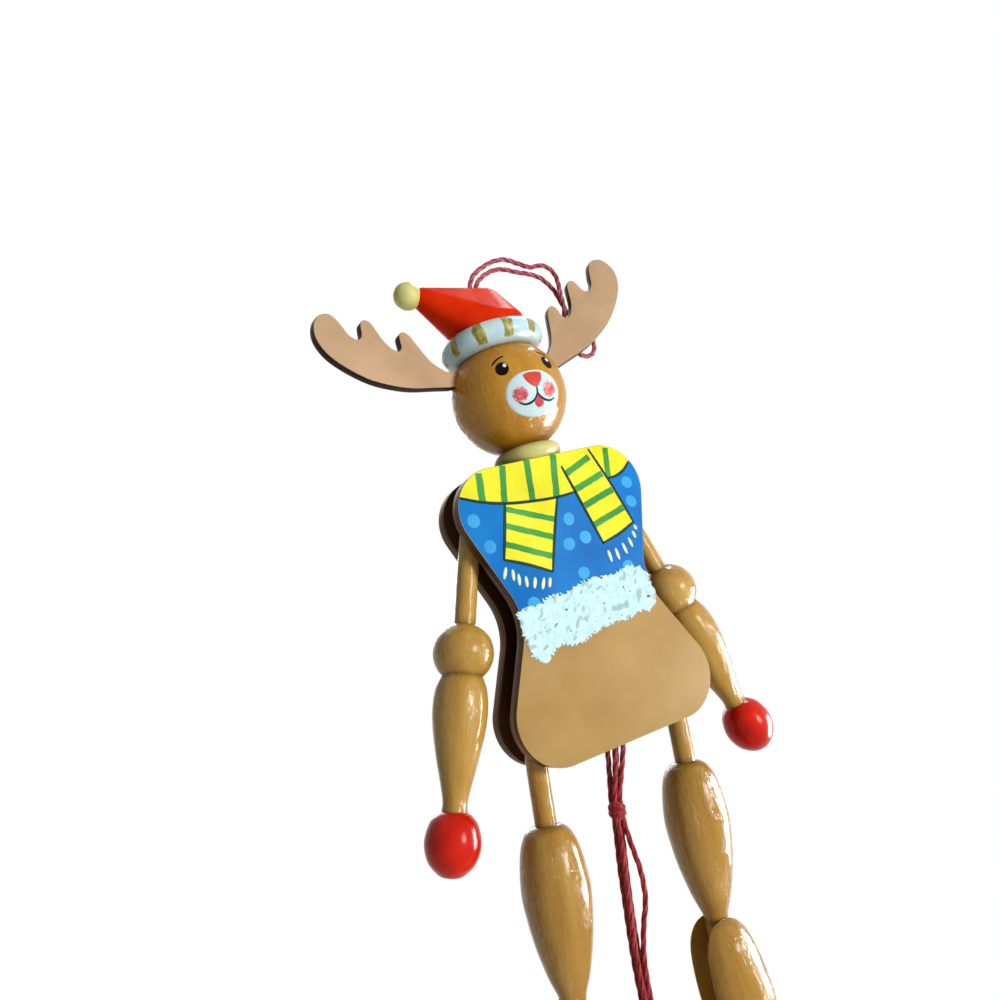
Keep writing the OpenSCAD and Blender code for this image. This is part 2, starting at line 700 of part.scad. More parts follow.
front_board();
back_board();
neck_block();
waist_spacers();
shoulder_pins();
hip_pins();
neck_dowel();
neck_ring();
head();
left_antler();
right_antler();
hat_brim();
hat_cone();
pompom();
hanging_loop();
left_arm();
right_arm();
left_hand();
right_hand();
left_thigh();
right_thigh();
left_shin();
right_shin();
left_knee_pin();
right_knee_pin();
left_foot();
right_foot();
arm_string();
leg_string();
pull_strand_left();
pull_strand_middle();
pull_strand_front();
pull_strand_right();
pull_knot();
pull_bead();
end_knot();
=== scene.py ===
# %% [markdown]
# # A pull-string reindeer, dressed for its picture
# The toy is turned and sawn from wood: a head ball, two body boards, spindle limbs and a
# cord that makes them jump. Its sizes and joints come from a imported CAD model. This
# notebook loads that model as a fixed frame and gives every piece its real surface.

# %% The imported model
import math
import random
import bmesh
import bpy
import numpy as np
from mathutils import Matrix, Vector


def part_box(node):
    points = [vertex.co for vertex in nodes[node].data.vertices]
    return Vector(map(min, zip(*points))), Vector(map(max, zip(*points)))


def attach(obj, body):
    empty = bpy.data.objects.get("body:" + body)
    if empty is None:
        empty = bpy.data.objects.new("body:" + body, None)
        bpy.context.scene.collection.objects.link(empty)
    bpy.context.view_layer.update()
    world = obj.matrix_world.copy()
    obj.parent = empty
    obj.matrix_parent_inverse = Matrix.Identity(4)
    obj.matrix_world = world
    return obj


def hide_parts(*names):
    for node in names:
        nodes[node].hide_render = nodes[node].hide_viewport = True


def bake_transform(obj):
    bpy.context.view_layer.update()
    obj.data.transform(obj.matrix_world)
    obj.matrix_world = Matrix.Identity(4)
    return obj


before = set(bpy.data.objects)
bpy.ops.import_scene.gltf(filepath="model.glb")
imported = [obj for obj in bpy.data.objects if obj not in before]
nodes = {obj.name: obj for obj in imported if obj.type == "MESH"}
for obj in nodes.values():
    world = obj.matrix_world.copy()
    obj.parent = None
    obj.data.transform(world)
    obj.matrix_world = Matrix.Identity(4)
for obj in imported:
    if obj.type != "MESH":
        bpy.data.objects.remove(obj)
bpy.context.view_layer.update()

# %% [markdown]
# ## The camera
# The picture was taken from close by, from the toy's left of centre, a little from below
# and with the camera rolled. A camera can be placed by rotation angles, but three axes
# as vectors are easier to check: each one is a direction in the toy's own frame.

# %% Camera
camera_lens = bpy.data.cameras.new("camera")
camera_lens.sensor_fit = "HORIZONTAL"
camera_lens.sensor_width = 36
camera_lens.lens = 28.612
camera = bpy.data.objects.new("camera", camera_lens)
ahead = Vector((0.45249, 0.87904, 0.15016))
rightward = Vector((0.86855, -0.39624, -0.29770))
upward = Vector((0.20219, -0.26512, 0.94278))
turn_to_view = Matrix((rightward, upward, -ahead)).transposed().to_4x4()
camera_place = (-0.119544, -0.206447, -0.102532)
camera.matrix_world = Matrix.Translation(camera_place) @ turn_to_view
bpy.context.scene.collection.objects.link(camera)
bpy.context.scene.camera = camera
bpy.context.scene.view_settings.view_transform = "Standard"
print("camera to origin:", round(camera.matrix_world.translation.length, 4), "m")

# %% [markdown]
# ## Small helpers
# The toy is measured in millimetres and Blender works in metres, so one factor turns one
# into the other. Turned pieces, cords and painted edges all follow smooth curves through
# a few given points. A Catmull-Rom curve passes through every point it is given,
# which makes it easier to steer than a Bezier curve.

# %% Curves and colours
MM = 0.001


def smooth_line(points, steps=6):
    p = np.array(points, float)
    p = np.vstack([p[0], p, p[-1]])
    t = (np.arange(steps) / steps)[:, None]
    runs = []
    for a, b, c, d in zip(p[:-3], p[1:-2], p[2:-1], p[3:]):
        runs.append(0.5 * (2 * b + (c - a) * t + (2 * a - 5 * b + 4 * c - d) * t ** 2
                           + (3 * b - a - 3 * c + d) * t ** 3))
    return np.vstack(runs + [p[-1:]])


def colour(code):
    """A colour written as six hex digits, as the linear values that shaders take."""
    parts = [int(code[i:i + 2], 16) / 255 for i in (0, 2, 4)]
    linear = [c / 12.92 if c <= 0.04045 else ((c + 0.055) / 1.055) ** 2.4 for c in parts]
    return (*linear, 1.0)


print("honey brown as linear values:", [round(c, 3) for c in colour("C49844")])

# %% Pieces from points and faces
def link(piece):
    bpy.context.scene.collection.objects.link(piece)
    return piece


def bare(name, points, edges=(), faces=()):
    """An object from points in millimetres, not yet in the scene."""
    mesh = bpy.data.meshes.new(name)
    mesh.from_pydata([tuple(p) for p in np.asarray(points, float) * MM], edges, faces)
    return bpy.data.objects.new(name, mesh)


def ring_faces(n, rows, fan=False):
    """Faces between rings of n points, and if asked a fan to the one point that follows."""
    faces = [(r * n + k, r * n + (k + 1) % n, (r + 1) * n + (k + 1) % n, (r + 1) * n + k)
             for r in range(rows) for k in range(n)]
    last = rows * n
    return faces + [(last + k, last + (k + 1) % n, last + n) for k in range(n)] * fan


def shade(piece, sharp=None):
    """Smooth shading, with a crease where faces meet at more than so many degrees."""
    piece.data.shade_smooth()
    if sharp:
        piece.data.set_sharp_from_angle(angle=math.radians(sharp))


def settle(piece, body, stands_for=()):
    if not piece.users_collection:
        link(piece)
    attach(piece, body)
    if stands_for:
        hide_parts(*stands_for)
    return piece


def new_piece(name, points, faces, finish, body, stands_for=(), sharp=None):
    piece = bare(name, points, faces=faces)
    piece.data.materials.append(finish)
    shade(piece, sharp)
    return settle(piece, body, stands_for)


# %% Facts, modifiers and finished meshes
def tell(piece, name, values, kind="FLOAT"):
    """Gives every point of a piece a number or a vector that its finish can read."""
    made = piece.data.attributes.new(name, kind, "POINT")
    made.data.foreach_set("value" if kind == "FLOAT" else "vector",
                          np.asarray(values, np.float32).ravel())


def change(piece, kind, **settings):
    made = piece.modifiers.new(kind.lower(), kind)
    for setting, value in settings.items():
        setattr(made, setting, value)


def sand(piece, width, segments, angle):
    change(piece, "BEVEL", width=width * MM, segments=segments, limit_method="ANGLE",
           angle_limit=math.radians(angle))


def applied(piece):
    """The piece with its modifiers worked into its mesh."""
    bpy.context.view_layer.update()
    seen = piece.evaluated_get(bpy.context.evaluated_depsgraph_get())
    finished = bpy.data.meshes.new_from_object(seen)
    finished.name = piece.name
    piece.modifiers.clear()
    piece.data = finished
    return piece


# %% [markdown]
# ## Finishes: how the materials are built
# A material is a small tree of nodes. Every finish of this toy starts from the same
# shader and adds colour, roughness and relief from noise at the size of the real
# surface's marks. One helper makes the nodes, so that each recipe reads as a short list.

# %% Node helpers
def new_finish(name, **sockets):
    finish = bpy.data.materials.new(name)
    finish.use_nodes = True
    shader = finish.node_tree.nodes["Principled BSDF"]
    for socket, value in sockets.items():
        shader.inputs[socket.replace("_", " ")].default_value = value
    return finish, finish.node_tree, shader


def add(tree, kind, inputs=None, **settings):
    """A new node. Its inputs take a number, or a socket of another node to join."""
    made = tree.nodes.new(kind)
    for setting, value in settings.items():
        setattr(made, setting, value)
    for key, value in (inputs or {}).items():
        if isinstance(value, bpy.types.NodeSocket):
            tree.links.new(value, made.inputs[key])
        else:
            made.inputs[key].default_value = value
    return made


def ramp(tree, value, stops):
    made = add(tree, "ShaderNodeValToRGB", {0: value})
    band = made.color_ramp
    while len(band.elements) < len(stops):
        band.elements.new(0.5)
    for element, (place, tone) in zip(band.elements, stops):
        element.position = place
        element.color = tone if isinstance(tone, tuple) else colour(tone)
    return made.outputs["Color"]


def mix(tree, share, first, second):
    values = [colour(v) if isinstance(v, str) else v for v in (share, first, second)]
    made = add(tree, "ShaderNodeMix", dict(zip((0, 6, 7), values)), data_type="RGBA")
    return made.outputs[2]


def noise(tree, place, scale, stretch=(1, 1, 1), detail=3.0, shift=(0, 0, 0)):
    moved = add(tree, "ShaderNodeMapping", {"Vector": place, "Scale": stretch, "Location": shift})
    made = add(tree, "ShaderNodeTexNoise", {"Vector": moved.outputs[0], "Scale": scale,
                                            "Detail": detail})
    return made.outputs["Fac"]


def relief(tree, shader, height, depth, socket="Normal"):
    made = add(tree, "ShaderNodeBump", {"Height": height, "Distance": depth, "Strength": 1.0})
    join(shader, socket, made.outputs[0])


def math_node(tree, operation, first, second=0.5, third=None, clamp=False):
    values = {0: first, 1: second} if third is None else {0: first, 1: second, 2: third}
    made = add(tree, "ShaderNodeMath", values, operation=operation)
    made.use_clamp = clamp
    return made.outputs[0]


def join(node, socket, value):
    node.id_data.links.new(value, node.inputs[socket])


def object_place(tree):
    return add(tree, "ShaderNodeTexCoord").outputs["Object"]


def told(tree, name, output="Fac"):
    """What the piece's points were told under this name."""
    return add(tree, "ShaderNodeAttribute", attribute_name=name).outputs[output]


# %% [markdown]
# ## The cords
# The hanging loop and the pull strands are twisted from three thin yarns. A cord could be
# a plain tube with a striped bump map, but its outline would stay round. Here a
# Geometry Nodes tree sweeps a three-lobed section along the route and turns it as it
# goes, so the lay of the yarns shows in the silhouette too. The routes repeat the CAD's.
# The loop is the same cord as the strands, but more faded.

# %% Cord finish
def cord_finish(name, deep, main, pale):
    finish, tree, shader = new_finish(name, Roughness=0.72, Sheen_Weight=0.4,
                                      Sheen_Roughness=0.45, Specular_IOR_Level=0.25)
    along = math_node(tree, "MULTIPLY", told(tree, "along"), 260)
    lengthwise = add(tree, "ShaderNodeCombineXYZ", {"Z": along})
    place = add(tree, "ShaderNodeVectorMath", {0: told(tree, "lay", "Vector"),
                                               1: lengthwise.outputs[0]}, operation="ADD")
    fibres = noise(tree, place.outputs[0], 3.4, (1, 1, 0.5))
    patches = noise(tree, place.outputs[0], 0.8, (0.6, 0.6, 0.6), detail=2.0)
    yarn = ramp(tree, fibres, [(0.34, deep), (0.5, main), (0.66, pale)])
    yarn = mix(tree, ramp(tree, patches, [(0.4, "000000"), (0.75, "B0B0B0")]), yarn, "7A0D1B")
    # Painted shade: the grooves between the yarns are darkened.
    yarn_groove_shade = math_node(tree, "POWER", told(tree, "groove"), 1.5)
    yarn = mix(tree, math_node(tree, "MULTIPLY", yarn_groove_shade, 0.65), yarn, "4A0810")
    join(shader, "Base Color", yarn)
    relief(tree, shader, fibres, 0.0003)
    return finish


cord_red = cord_finish("dark_red_cord", "760A10", "B21820", "DC5254")
cord_pink = cord_finish("faded_red_cord", "8A1A2A", "C23C50", "F09CAA")


# %% Helpers for node trees that make shapes
def node_group(name, inputs):
    """An empty Geometry Nodes tree. Each input has a name, a kind and maybe a value."""
    tree = bpy.data.node_groups.new(name, "GeometryNodeTree")
    for word, kind, value in [("Geometry", "Geometry", None)] + inputs:
        made = tree.interface.new_socket(word, in_out="INPUT", socket_type="NodeSocket" + kind)
        if value is not None:
            made.default_value = value
    tree.interface.new_socket("Geometry", in_out="OUTPUT", socket_type="NodeSocketGeometry")
    return tree, add(tree, "NodeGroupInput").outputs


def close_group(tree, shape, finish):
    real = add(tree, "GeometryNodeRealizeInstances", {0: shape})
    dressed = add(tree, "GeometryNodeSetMaterial", {"Geometry": real.outputs[0],
                                                    "Material": finish})
    add(tree, "NodeGroupOutput", {0: dressed.outputs[0]})
    return tree


def stored(tree, shape, name, value, kind="FLOAT"):
    made = add(tree, "GeometryNodeStoreNamedAttribute",
               {"Geometry": shape, "Name": name, "Value": value}, data_type=kind)
    return made.outputs[0]


# %% The twisting tree
def twisting_tree():
    tree, given = node_group("twisted_cord", [
        ("Diameter", "Float", 0.0016), ("Turns per metre", "Float", 110.0),
        ("Groove depth", "Float", 0.3), ("Step", "Float", 0.0005), ("Finish", "Material", None)])
    line = add(tree, "GeometryNodeMeshToCurve", {0: given["Geometry"]})
    even = add(tree, "GeometryNodeResampleCurve", {"Curve": line.outputs[0],
                                                   "Length": given["Step"]}, mode="LENGTH")
    along = add(tree, "GeometryNodeSplineParameter").outputs["Length"]
    turns = math_node(tree, "MULTIPLY", along, given["Turns per metre"])
    tilt = math_node(tree, "MULTIPLY", turns, 2 * math.pi)
    tilted = add(tree, "GeometryNodeSetCurveTilt", {"Curve": even.outputs[0], "Tilt": tilt})
    route = stored(tree, tilted.outputs[0], "along", along)
    circle = add(tree, "GeometryNodeCurvePrimitiveCircle", {"Resolution": 24, "Radius": 1.0})
    share = add(tree, "GeometryNodeSplineParameter").outputs["Factor"]
    lobes = math_node(tree, "COSINE", math_node(tree, "MULTIPLY", share, 6 * math.pi))
    deep = math_node(tree, "POWER", math_node(tree, "MULTIPLY_ADD", lobes, 0.5, 0.5), 2.0)
    cut = math_node(tree, "MULTIPLY", deep, given["Groove depth"])
    reach = math_node(tree, "MULTIPLY", math_node(tree, "SUBTRACT", 1.0, cut), given["Diameter"])
    reach = math_node(tree, "MULTIPLY", reach, 0.5)
    here = add(tree, "GeometryNodeInputPosition").outputs[0]
    lobed = add(tree, "ShaderNodeVectorMath", {0: here, "Scale": reach}, operation="SCALE")
    # How deep each point lies between the lobes, which the cord's finish darkens as painted shade.
    ring = stored(tree, circle.outputs[0], "groove", deep)
    ring = stored(tree, ring, "lay", here, "FLOAT_VECTOR")
    section = add(tree, "GeometryNodeSetPosition", {"Geometry": ring,
                                                    "Position": lobed.outputs[0]})
    swept = add(tree, "GeometryNodeCurveToMesh", {"Curve": route, "Fill Caps": True,
                                                  "Profile Curve": section.outputs[0]})
    return close_group(tree, swept.outputs[0], given["Finish"])


def with_nodes(piece, tree, **values):
    """The piece as the tree makes it. Inputs are set by their sockets' identifiers."""
    modifier = piece.modifiers.new(tree.name, "NODES")
    modifier.node_group = tree
    for item in tree.interface.items_tree:
        key = item.name.replace(" ", "_")
        if item.in_out == "INPUT" and key in values:
            modifier[item.identifier] = values[key]
    return applied(piece)


cord_tree = twisting_tree()
print("twisting tree:", len(cord_tree.nodes), "nodes")

# %% Cords along a route
def twisted_cord(name, route, diameter, turns=110.0, finish=cord_red):
    line = smooth_line(route, 8)
    piece = link(bare(name, line, [(i, i + 1) for i in range(len(line) - 1)]))
    with_nodes(piece, cord_tree, Diameter=diameter * MM, Turns_per_metre=turns, Finish=finish)
    shade(piece)
    line = line * MM
    length = float(np.linalg.norm(np.diff(line, axis=0), axis=1).sum())
    print(name, "is", round(length * 1000, 1), "mm long with", len(piece.data.polygons), "faces")
    return piece, line, length


# %% Hanging loop
cord_d = 1.6
loop_route = [(-0.9, 0, -5.9), (-0.9, 0, -2), (-0.8, -0.2, 1.2), (1.2, -0.7, 4.6), (5, -1.1, 7),
              (9.4, -1.3, 8.7), (14, -1.3, 9.1), (18.6, -1.2, 7.3), (22.6, -1.1, 5.8),
              (26.4, -1.1, 6.2), (29.4, -1, 5.2), (31.1, -1.1, 2.4), (31, -1.4, -0.8),
              (30.4, -1.7, -4.2), (29.9, -2, -7.3), (29.7, -2, -9.6), (29.6, -1, -11.9),
              (29.6, 0.2, -14), (29.5, 0.5, -17), (29.5, 0.5, -20.5), (30, 0.5, -23.6),
              (31.7, 0.5, -26), (34.3, 0.5, -26.9), (36.8, 0.5, -25.9), (38.1, 0.5, -23.4),
              (37.9, 0.5, -20.6), (36.6, 0.6, -18), (34.6, 0.8, -15.2), (32.9, 0.9, -11.9),
              (31.8, 0.9, -8.7), (31, 0.9, -5.4), (30.2, 0.9, -2.4), (28.8, 1.1, 0.4),
              (26.6, 1.2, 2.9), (23.4, 1.3, 4.5), (18.6, 1.2, 5.6), (14, 1.2, 7),
              (10, 1.2, 6.9), (6, 1, 5.3), (2.8, 0.6, 2.9), (1.1, 0.2, 0.4), (0.9, 0, -2),
              (0.9, 0, -5.9)]
loop, line, length = twisted_cord("hanging_cord", loop_route, cord_d, finish=cord_pink)
settle(loop, "figure", ["hanging_loop"])

# %% Pull strands
string_low = -122.976
heights = [0, -7, -15, -22, -29, -34, -38, -42, -47, -53, -61, -69, -77, -85, -93, -101, -109,
           -119, -127]
right_heights = heights[:8] + [-48, -55, -62, -68, -75, -83, -91, -99, -109, -119, -127]
behind = [0.9] * 5 + [0.8] * 4 + [0.9] * 10
before = [-0.9] * 6 + [-0.8] * 3 + [-0.9] * 10
strand_routes = {
    "left": ([-1, -1.6, -2.6, -4, -6, -7.6, -8.4, -9.2, -10.4, -11.8, -13.4, -15, -16.4, -17.4,
              -17.9, -18, -18, -18, -18], behind, heights),
    "middle": ([0.9, 0.8, 0.2, -1, -3.6, -5.6, -6.5, -7.3, -8.4, -9.8, -11.6, -13.2, -14.6,
                -15.6, -16.1, -16.2, -16.2, -16.2, -16.2], behind, heights),
    "front": ([-1, -1.2, -1.4, -2.6, -5.2, -7.4, -8.4, -9, -10, -11.4, -13.2, -15, -16.4,
               -17.4, -17.9, -18, -18, -18, -18], before, heights),
    "right": ([0.9, 1.4, 1.6, 0.4, -3, -5.6, -6.5, -7, -7, -6.8, -8, -11, -13.8, -15.4, -16,
               -16.2, -16.2, -16.2, -16.2],
              before[:8] + [-0.9, -1, -1] + before[11:], right_heights),
}
for word, rows in strand_routes.items():
    route = [(x, y, z + string_low) for x, y, z in zip(*rows)]
    strand, line, length = twisted_cord("pull_cord_" + word, route, cord_d, 85.0)
    settle(strand, "pull_cord", ["pull_strand_" + word])

# %% [markdown]
# ## The turned pieces
# Limbs, hands, feet, the head and the hat's brim came off a lathe. Blender's Screw
# modifier could spin their outlines, but making the rings in code lets each point keep
# two facts for the finish: its place in the blank it was cut from, which the grain
# follows even when the limb leans, and how deep it lies in a groove, for painted shade.

# %% Lathe
def ball_outline(radius, middle, start, end, steps=24):
    """Outline of a ball from one latitude to another, in degrees above its middle."""
    angles = np.radians(np.linspace(start, end, steps))
    return np.column_stack([radius * np.cos(angles), middle + radius * np.sin(angles)])


def share_outline(shares, diameter, length, top, steps=7):
    """Outline from shares of the largest radius and of the length, downwards from top."""
    curve = smooth_line(shares, steps)
    return np.column_stack([np.maximum(curve[:, 0], 0) * diameter / 2,
                            top - curve[:, 1] * length])


on_axis = 1e-4


def lathe(outline, sides=80):
    """Points and faces of a turned piece from [radius, height] pairs, from the top down."""
    points = []
    rings = []
    for radius, height in outline:
        count = 1 if radius < on_axis else sides
        rings.append([len(points) + k for k in range(count)])
        for k in range(count):
            a = 2 * math.pi * k / sides
            points.append((radius * math.cos(a), radius * math.sin(a), height))
    faces = []
    for upper, lower in zip(rings, rings[1:]):
        for k in range(sides):
            n = (k + 1) % sides
            if len(upper) == 1 and len(lower) > 1:
                faces.append((upper[0], lower[k], lower[n]))
            elif len(lower) == 1 and len(upper) > 1:
                faces.append((upper[k], lower[0], upper[n]))
            elif len(upper) > 1:
                faces.append((upper[k], lower[k], lower[n], upper[n]))
    return np.array(points), faces


# %% Turned pieces
def hang(side, x, z, lean):
    turn = Matrix.Rotation(math.radians(-side * lean), 4, "Y")
    return Matrix.Translation((side * x, 0, z)) @ turn


def turned_piece(name, outline, finish, body, stands_for, place=None, grooves=(),
                 groove_width=0.8, sharp=50, seed=0.0):
    closed = list(outline)
    if outline[0][0] > on_axis:
        closed.insert(0, (0, outline[0][1]))
    if outline[-1][0] > on_axis:
        closed.append((0, outline[-1][1]))
    points, faces = lathe(closed)
    turn = np.array(place or Matrix.Identity(4))
    there = points @ turn[:3, :3].T + turn[:3, 3]
    piece = new_piece(name, there, faces, finish, body, stands_for, sharp)
    tell(piece, "grain", (points + seed) * MM, "FLOAT_VECTOR")
    # How much painted shade each point takes: most in the grooves and where the piece meets the
    # next.
    depth = sum((np.exp(-((points[:, 2] - g) / groove_width) ** 2) for g in grooves),
                np.zeros(len(points)))
    tell(piece, "dark", np.minimum(depth, 1))
    return piece


# %% [markdown]
# ## Honey-brown varnish
# The limbs and the head are pale wood under a coloured, glossy varnish. Long streaks of
# grain show through, and the grooves and joins get a painted shade. The coat was brushed on
# unevenly, so its gloss comes and goes and a highlight breaks up into ragged flecks. The
# streaks come from noise that is stretched along the blank, the flecks from two sizes of
# bump. The arms, the legs and the head have three close shades of the same varnish.

# %% Varnish finish
def varnish(name, tones, from_attribute=True):
    finish, tree, shader = new_finish(name, Specular_IOR_Level=0.14, Coat_Roughness=0.1)
    place = told(tree, "grain", "Vector") if from_attribute else object_place(tree)
    streaks = noise(tree, place, 300, (1, 1, 0.08))
    bands = noise(tree, place, 70, (1, 1, 0.5), detail=2.0)
    pores = noise(tree, place, 1500, (1, 1, 0.05), detail=2.0)
    wood = ramp(tree, streaks, list(zip((0.25, 0.5, 0.75), tones)))
    wood = mix(tree, ramp(tree, bands, [(0.38, "000000"), (0.7, "8A8A8A")]), wood, tones[3])
    wood = mix(tree, ramp(tree, pores, [(0.32, "484848"), (0.43, "000000")]), wood, "70430A")
    if from_attribute:
        # Painted shade: the grooves and the joins between parts are darkened towards a deep brown.
        groove_shade = math_node(tree, "MULTIPLY", told(tree, "dark"), 0.42)
        wood = mix(tree, groove_shade, wood, "301B06")
    join(shader, "Base Color", wood)
    brushed = noise(tree, place, 1000, (1, 1, 0.4), detail=1.5)
    swell = noise(tree, place, 140, (1, 1, 0.6), detail=1.0)
    relief(tree, shader, math_node(tree, "MULTIPLY_ADD", swell, 3.0, brushed), 0.0001)
    flecks = noise(tree, place, 1500, (1, 1, 0.6), detail=2.0)
    rough_coat = math_node(tree, "MULTIPLY_ADD", swell, 6.0, flecks)
    relief(tree, shader, rough_coat, 0.0005, "Coat Normal")
    join(shader, "Coat Weight", ramp(tree, flecks, [(0.44, "181818"), (0.62, "A8A8A8")]))
    join(shader, "Roughness", ramp(tree, brushed, [(0.4, "585858"), (0.62, "808080")]))
    return finish


varnished = varnish("honey_varnish", ("B88A36", "C49844", "CEA456", "966A1A"))
leg_varnish = varnish("leg_varnish", ("AC7E2E", "B88A3A", "C49A4E", "885E12"))
head_varnish = varnish("head_varnish", ("BE8220", "CA8E28", "D29A38", "A46C10"))
inner_wood = varnish("inner_wood", ("8A6428", "967032", "A27C3C", "6E4C18"),
                     from_attribute=False)
print("varnish nodes:", len(varnished.node_tree.nodes))

# %% [markdown]
# ## Red gloss paint
# Hands, feet and hat are dipped or brushed in a strong red gloss. The paint hides the
# grain. What it shows is a slow swelling of the coat, faint brush lines and a deeper red
# where it is thick, so the recipe has two sizes of noise and no wood underneath. The pale
# gold of the neck ring and of the bead on the hat is the same recipe in other colours.

# %% Paint finishes
def gloss_paint(name, pale, main, deep, rough, gloss=0.14):
    finish, tree, shader = new_finish(name, Roughness=rough, Specular_IOR_Level=gloss)
    place = object_place(tree)
    slow = noise(tree, place, 75, detail=2.0)
    brush = noise(tree, place, 620, (1, 1, 0.35))
    paint = ramp(tree, slow, [(0.3, deep), (0.52, main), (0.75, pale)])
    paint = mix(tree, ramp(tree, brush, [(0.4, "000000"), (0.8, "606060")]), paint, pale)
    join(shader, "Base Color", paint)
    relief(tree, shader, math_node(tree, "MULTIPLY_ADD", slow, 4.0, brush), 0.00005)
    return finish


bead_red = gloss_paint("bead_red", "EA2E10", "DA2006", "B61204", rough=0.2, gloss=0.15)
hat_red = gloss_paint("hat_red", "FA4A1E", "F0340A", "D22404", rough=0.28, gloss=0.02)
pale_gold = gloss_paint("pale_gold", "FAF8B8", "ECEA98", "C8C268", rough=0.38)
ring_gold = gloss_paint("ring_gold", "E4E09C", "CBC67C", "8E8644", rough=0.36)
print("gloss paints:", [paint.name for paint in (bead_red, hat_red, pale_gold, ring_gold)])

# %% Arms, hands and their places
arm_x, arm_z = 25.5, -74.02
leg_x, leg_z = 24.5, -125.526
leans = {"left": (-1, 21.5, 9.4), "right": (1, 14.4, -9.2)}
forearm_shares = [(0.76, 0), (0.93, 0.1), (1, 0.24), (0.95, 0.4), (0.76, 0.62),
                  (0.56, 0.8), (0.44, 0.93), (0.46, 1)]
hand_shares = [(0.45, 0), (0.63, 0.055), (0.85, 0.18), (0.99, 0.4), (0.97, 0.6), (0.79, 0.8),
               (0.45, 0.95), (0.21, 0.99), (0, 1)]
rod_r, rod_tail, ball_r, ball_mid = 3.0, 8.0, 8.4, -34.8
wrist_z, forearm_d, hand_d, hand_l = -75.4, 15.0, 14.8, 15.8
forearm_start_r = forearm_shares[0][0] * forearm_d / 2
forearm_top = ball_mid - math.sqrt(ball_r ** 2 - forearm_start_r ** 2)
rod_start, rod_stop = 4.5, -26.2
rod_end = ball_outline(rod_r, rod_tail - rod_r, 90, 0, 10)
ball_top = math.degrees(math.acos(rod_r / ball_r))
ball_low = math.degrees(math.acos(forearm_start_r / ball_r))
arm_outline = np.vstack([rod_end, [(rod_r, z) for z in np.linspace(rod_start, rod_stop, 24)],
                         ball_outline(ball_r, ball_mid, ball_top, -ball_low, 40),
                         share_outline(forearm_shares, forearm_d, forearm_top - wrist_z,
                                       forearm_top)[1:]])
for word, (side, arm_lean, leg_lean) in leans.items():
    place = hang(side, arm_x, arm_z, arm_lean)
    turned_piece(word + "_arm_turned", arm_outline, varnished, "arm_" + word[0],
                 [word + "_arm"], place, grooves=(-26.8, forearm_top, -75.6),
                 seed=17.0 * side)
    hand = share_outline(hand_shares, hand_d, hand_l, wrist_z)
    turned_piece(word + "_hand_bead", hand, bead_red, "arm_" + word[0], [word + "_hand"],
                 place)
print("arm outline has", len(arm_outline), "points")

# %% Thighs
thigh_shares = [(0.43, 0), (0.68, 0.045), (0.88, 0.15), (1, 0.34), (0.97, 0.48),
                (0.84, 0.66), (0.62, 0.84), (0.42, 0.95), (0.36, 1)]
thigh_top, thigh_l, thigh_d, knee_drop = -31.5, 43.0, 18.6, 83.0
tongue_r, tongue_top, tongue_low = 3.4, -75.2, -82.5
thigh_outline = np.vstack([rod_end, [(rod_r, z) for z in np.linspace(rod_start, thigh_top, 24)],
                           share_outline(thigh_shares, thigh_d, thigh_l, thigh_top)[1:],
                           [(tongue_r, z) for z in np.linspace(tongue_top, tongue_low, 6)],
                           ball_outline(tongue_r, -knee_drop, 0, -90, 10)])
for word, (side, arm_lean, leg_lean) in leans.items():
    turned_piece(word + "_thigh_turned", thigh_outline, leg_varnish, "thigh_" + word[0],
                 [word + "_thigh"], hang(side, leg_x, leg_z, leg_lean),
                 grooves=(thigh_top, -75.0), seed=31.0 * side)
print("thigh outline has", len(thigh_outline), "points")

# %% [markdown]
# ## The forked lower legs
# Each lower leg is a spindle whose top is sawn into a fork for the knee. The spindle is
# turned like the thighs, and a Boolean modifier then saws the slot. A saw leaves crisp
# edges that sandpaper takes off, so a narrow bevel follows, and only then the varnish.

# %% Lower legs
shin_shares = [(0, 0), (0.42, 0.015), (0.7, 0.06), (0.89, 0.14), (1, 0.3), (0.97, 0.42),
               (0.82, 0.6), (0.62, 0.78), (0.46, 0.92), (0.43, 1)]
fork_rise, shin_l, shin_d, slot_w, slot_h = 9.6, 62.0, 20.2, 7.6, 20.0
foot_d, foot_l = 16.0, 19.0


def saw_slot(piece, low, high):
    corners = [(x, y, z) for x in (low[0], high[0]) for y in (low[1], high[1])
               for z in (low[2], high[2])]
    faces = [(0, 1, 3, 2), (4, 6, 7, 5), (0, 4, 5, 1), (2, 3, 7, 6), (0, 2, 6, 4), (1, 5, 7, 3)]
    saw = link(bare("saw", corners, faces=faces))
    change(piece, "BOOLEAN", operation="DIFFERENCE", solver="EXACT", object=saw)
    sand(piece, 0.4, 2, 45)
    applied(piece)
    bpy.data.objects.remove(saw)
    shade(piece, 40)


for word, (side, arm_lean, leg_lean) in leans.items():
    lean = math.radians(leg_lean)
    knee = (side * (leg_x + knee_drop * math.sin(lean)), 0, leg_z - knee_drop * math.cos(lean))
    place = Matrix.Translation(knee)
    shin = share_outline(shin_shares, shin_d, shin_l, fork_rise, 9)
    body = "shin_" + word[0]
    piece = turned_piece(word + "_shin_turned", shin, leg_varnish, body, [word + "_shin"],
                         place, grooves=(fork_rise - shin_l,), seed=47.0 * side)
    saw_slot(piece, (knee[0] - 30, -slot_w / 2, knee[2] - slot_h + slot_w / 2),
             (knee[0] + 30, slot_w / 2, knee[2] + 30))
    foot = share_outline(hand_shares, foot_d, foot_l, fork_rise - shin_l)
    turned_piece(word + "_foot_bead", foot, bead_red, body, [word + "_foot"],
                 place)
    print(word, "lower leg:", len(piece.data.polygons), "faces after sawing")

# %% [markdown]
# ## The head
# The head is a ball with a flat seat for the hat and another on the neck ring. Its face
# is painted on, so each feature is a thin patch that follows the ball. A patch starts as
# an outline in degrees across and above the middle of the face, and a few smaller copies
# of it towards its centre let it bend over the ball instead of cutting through it.

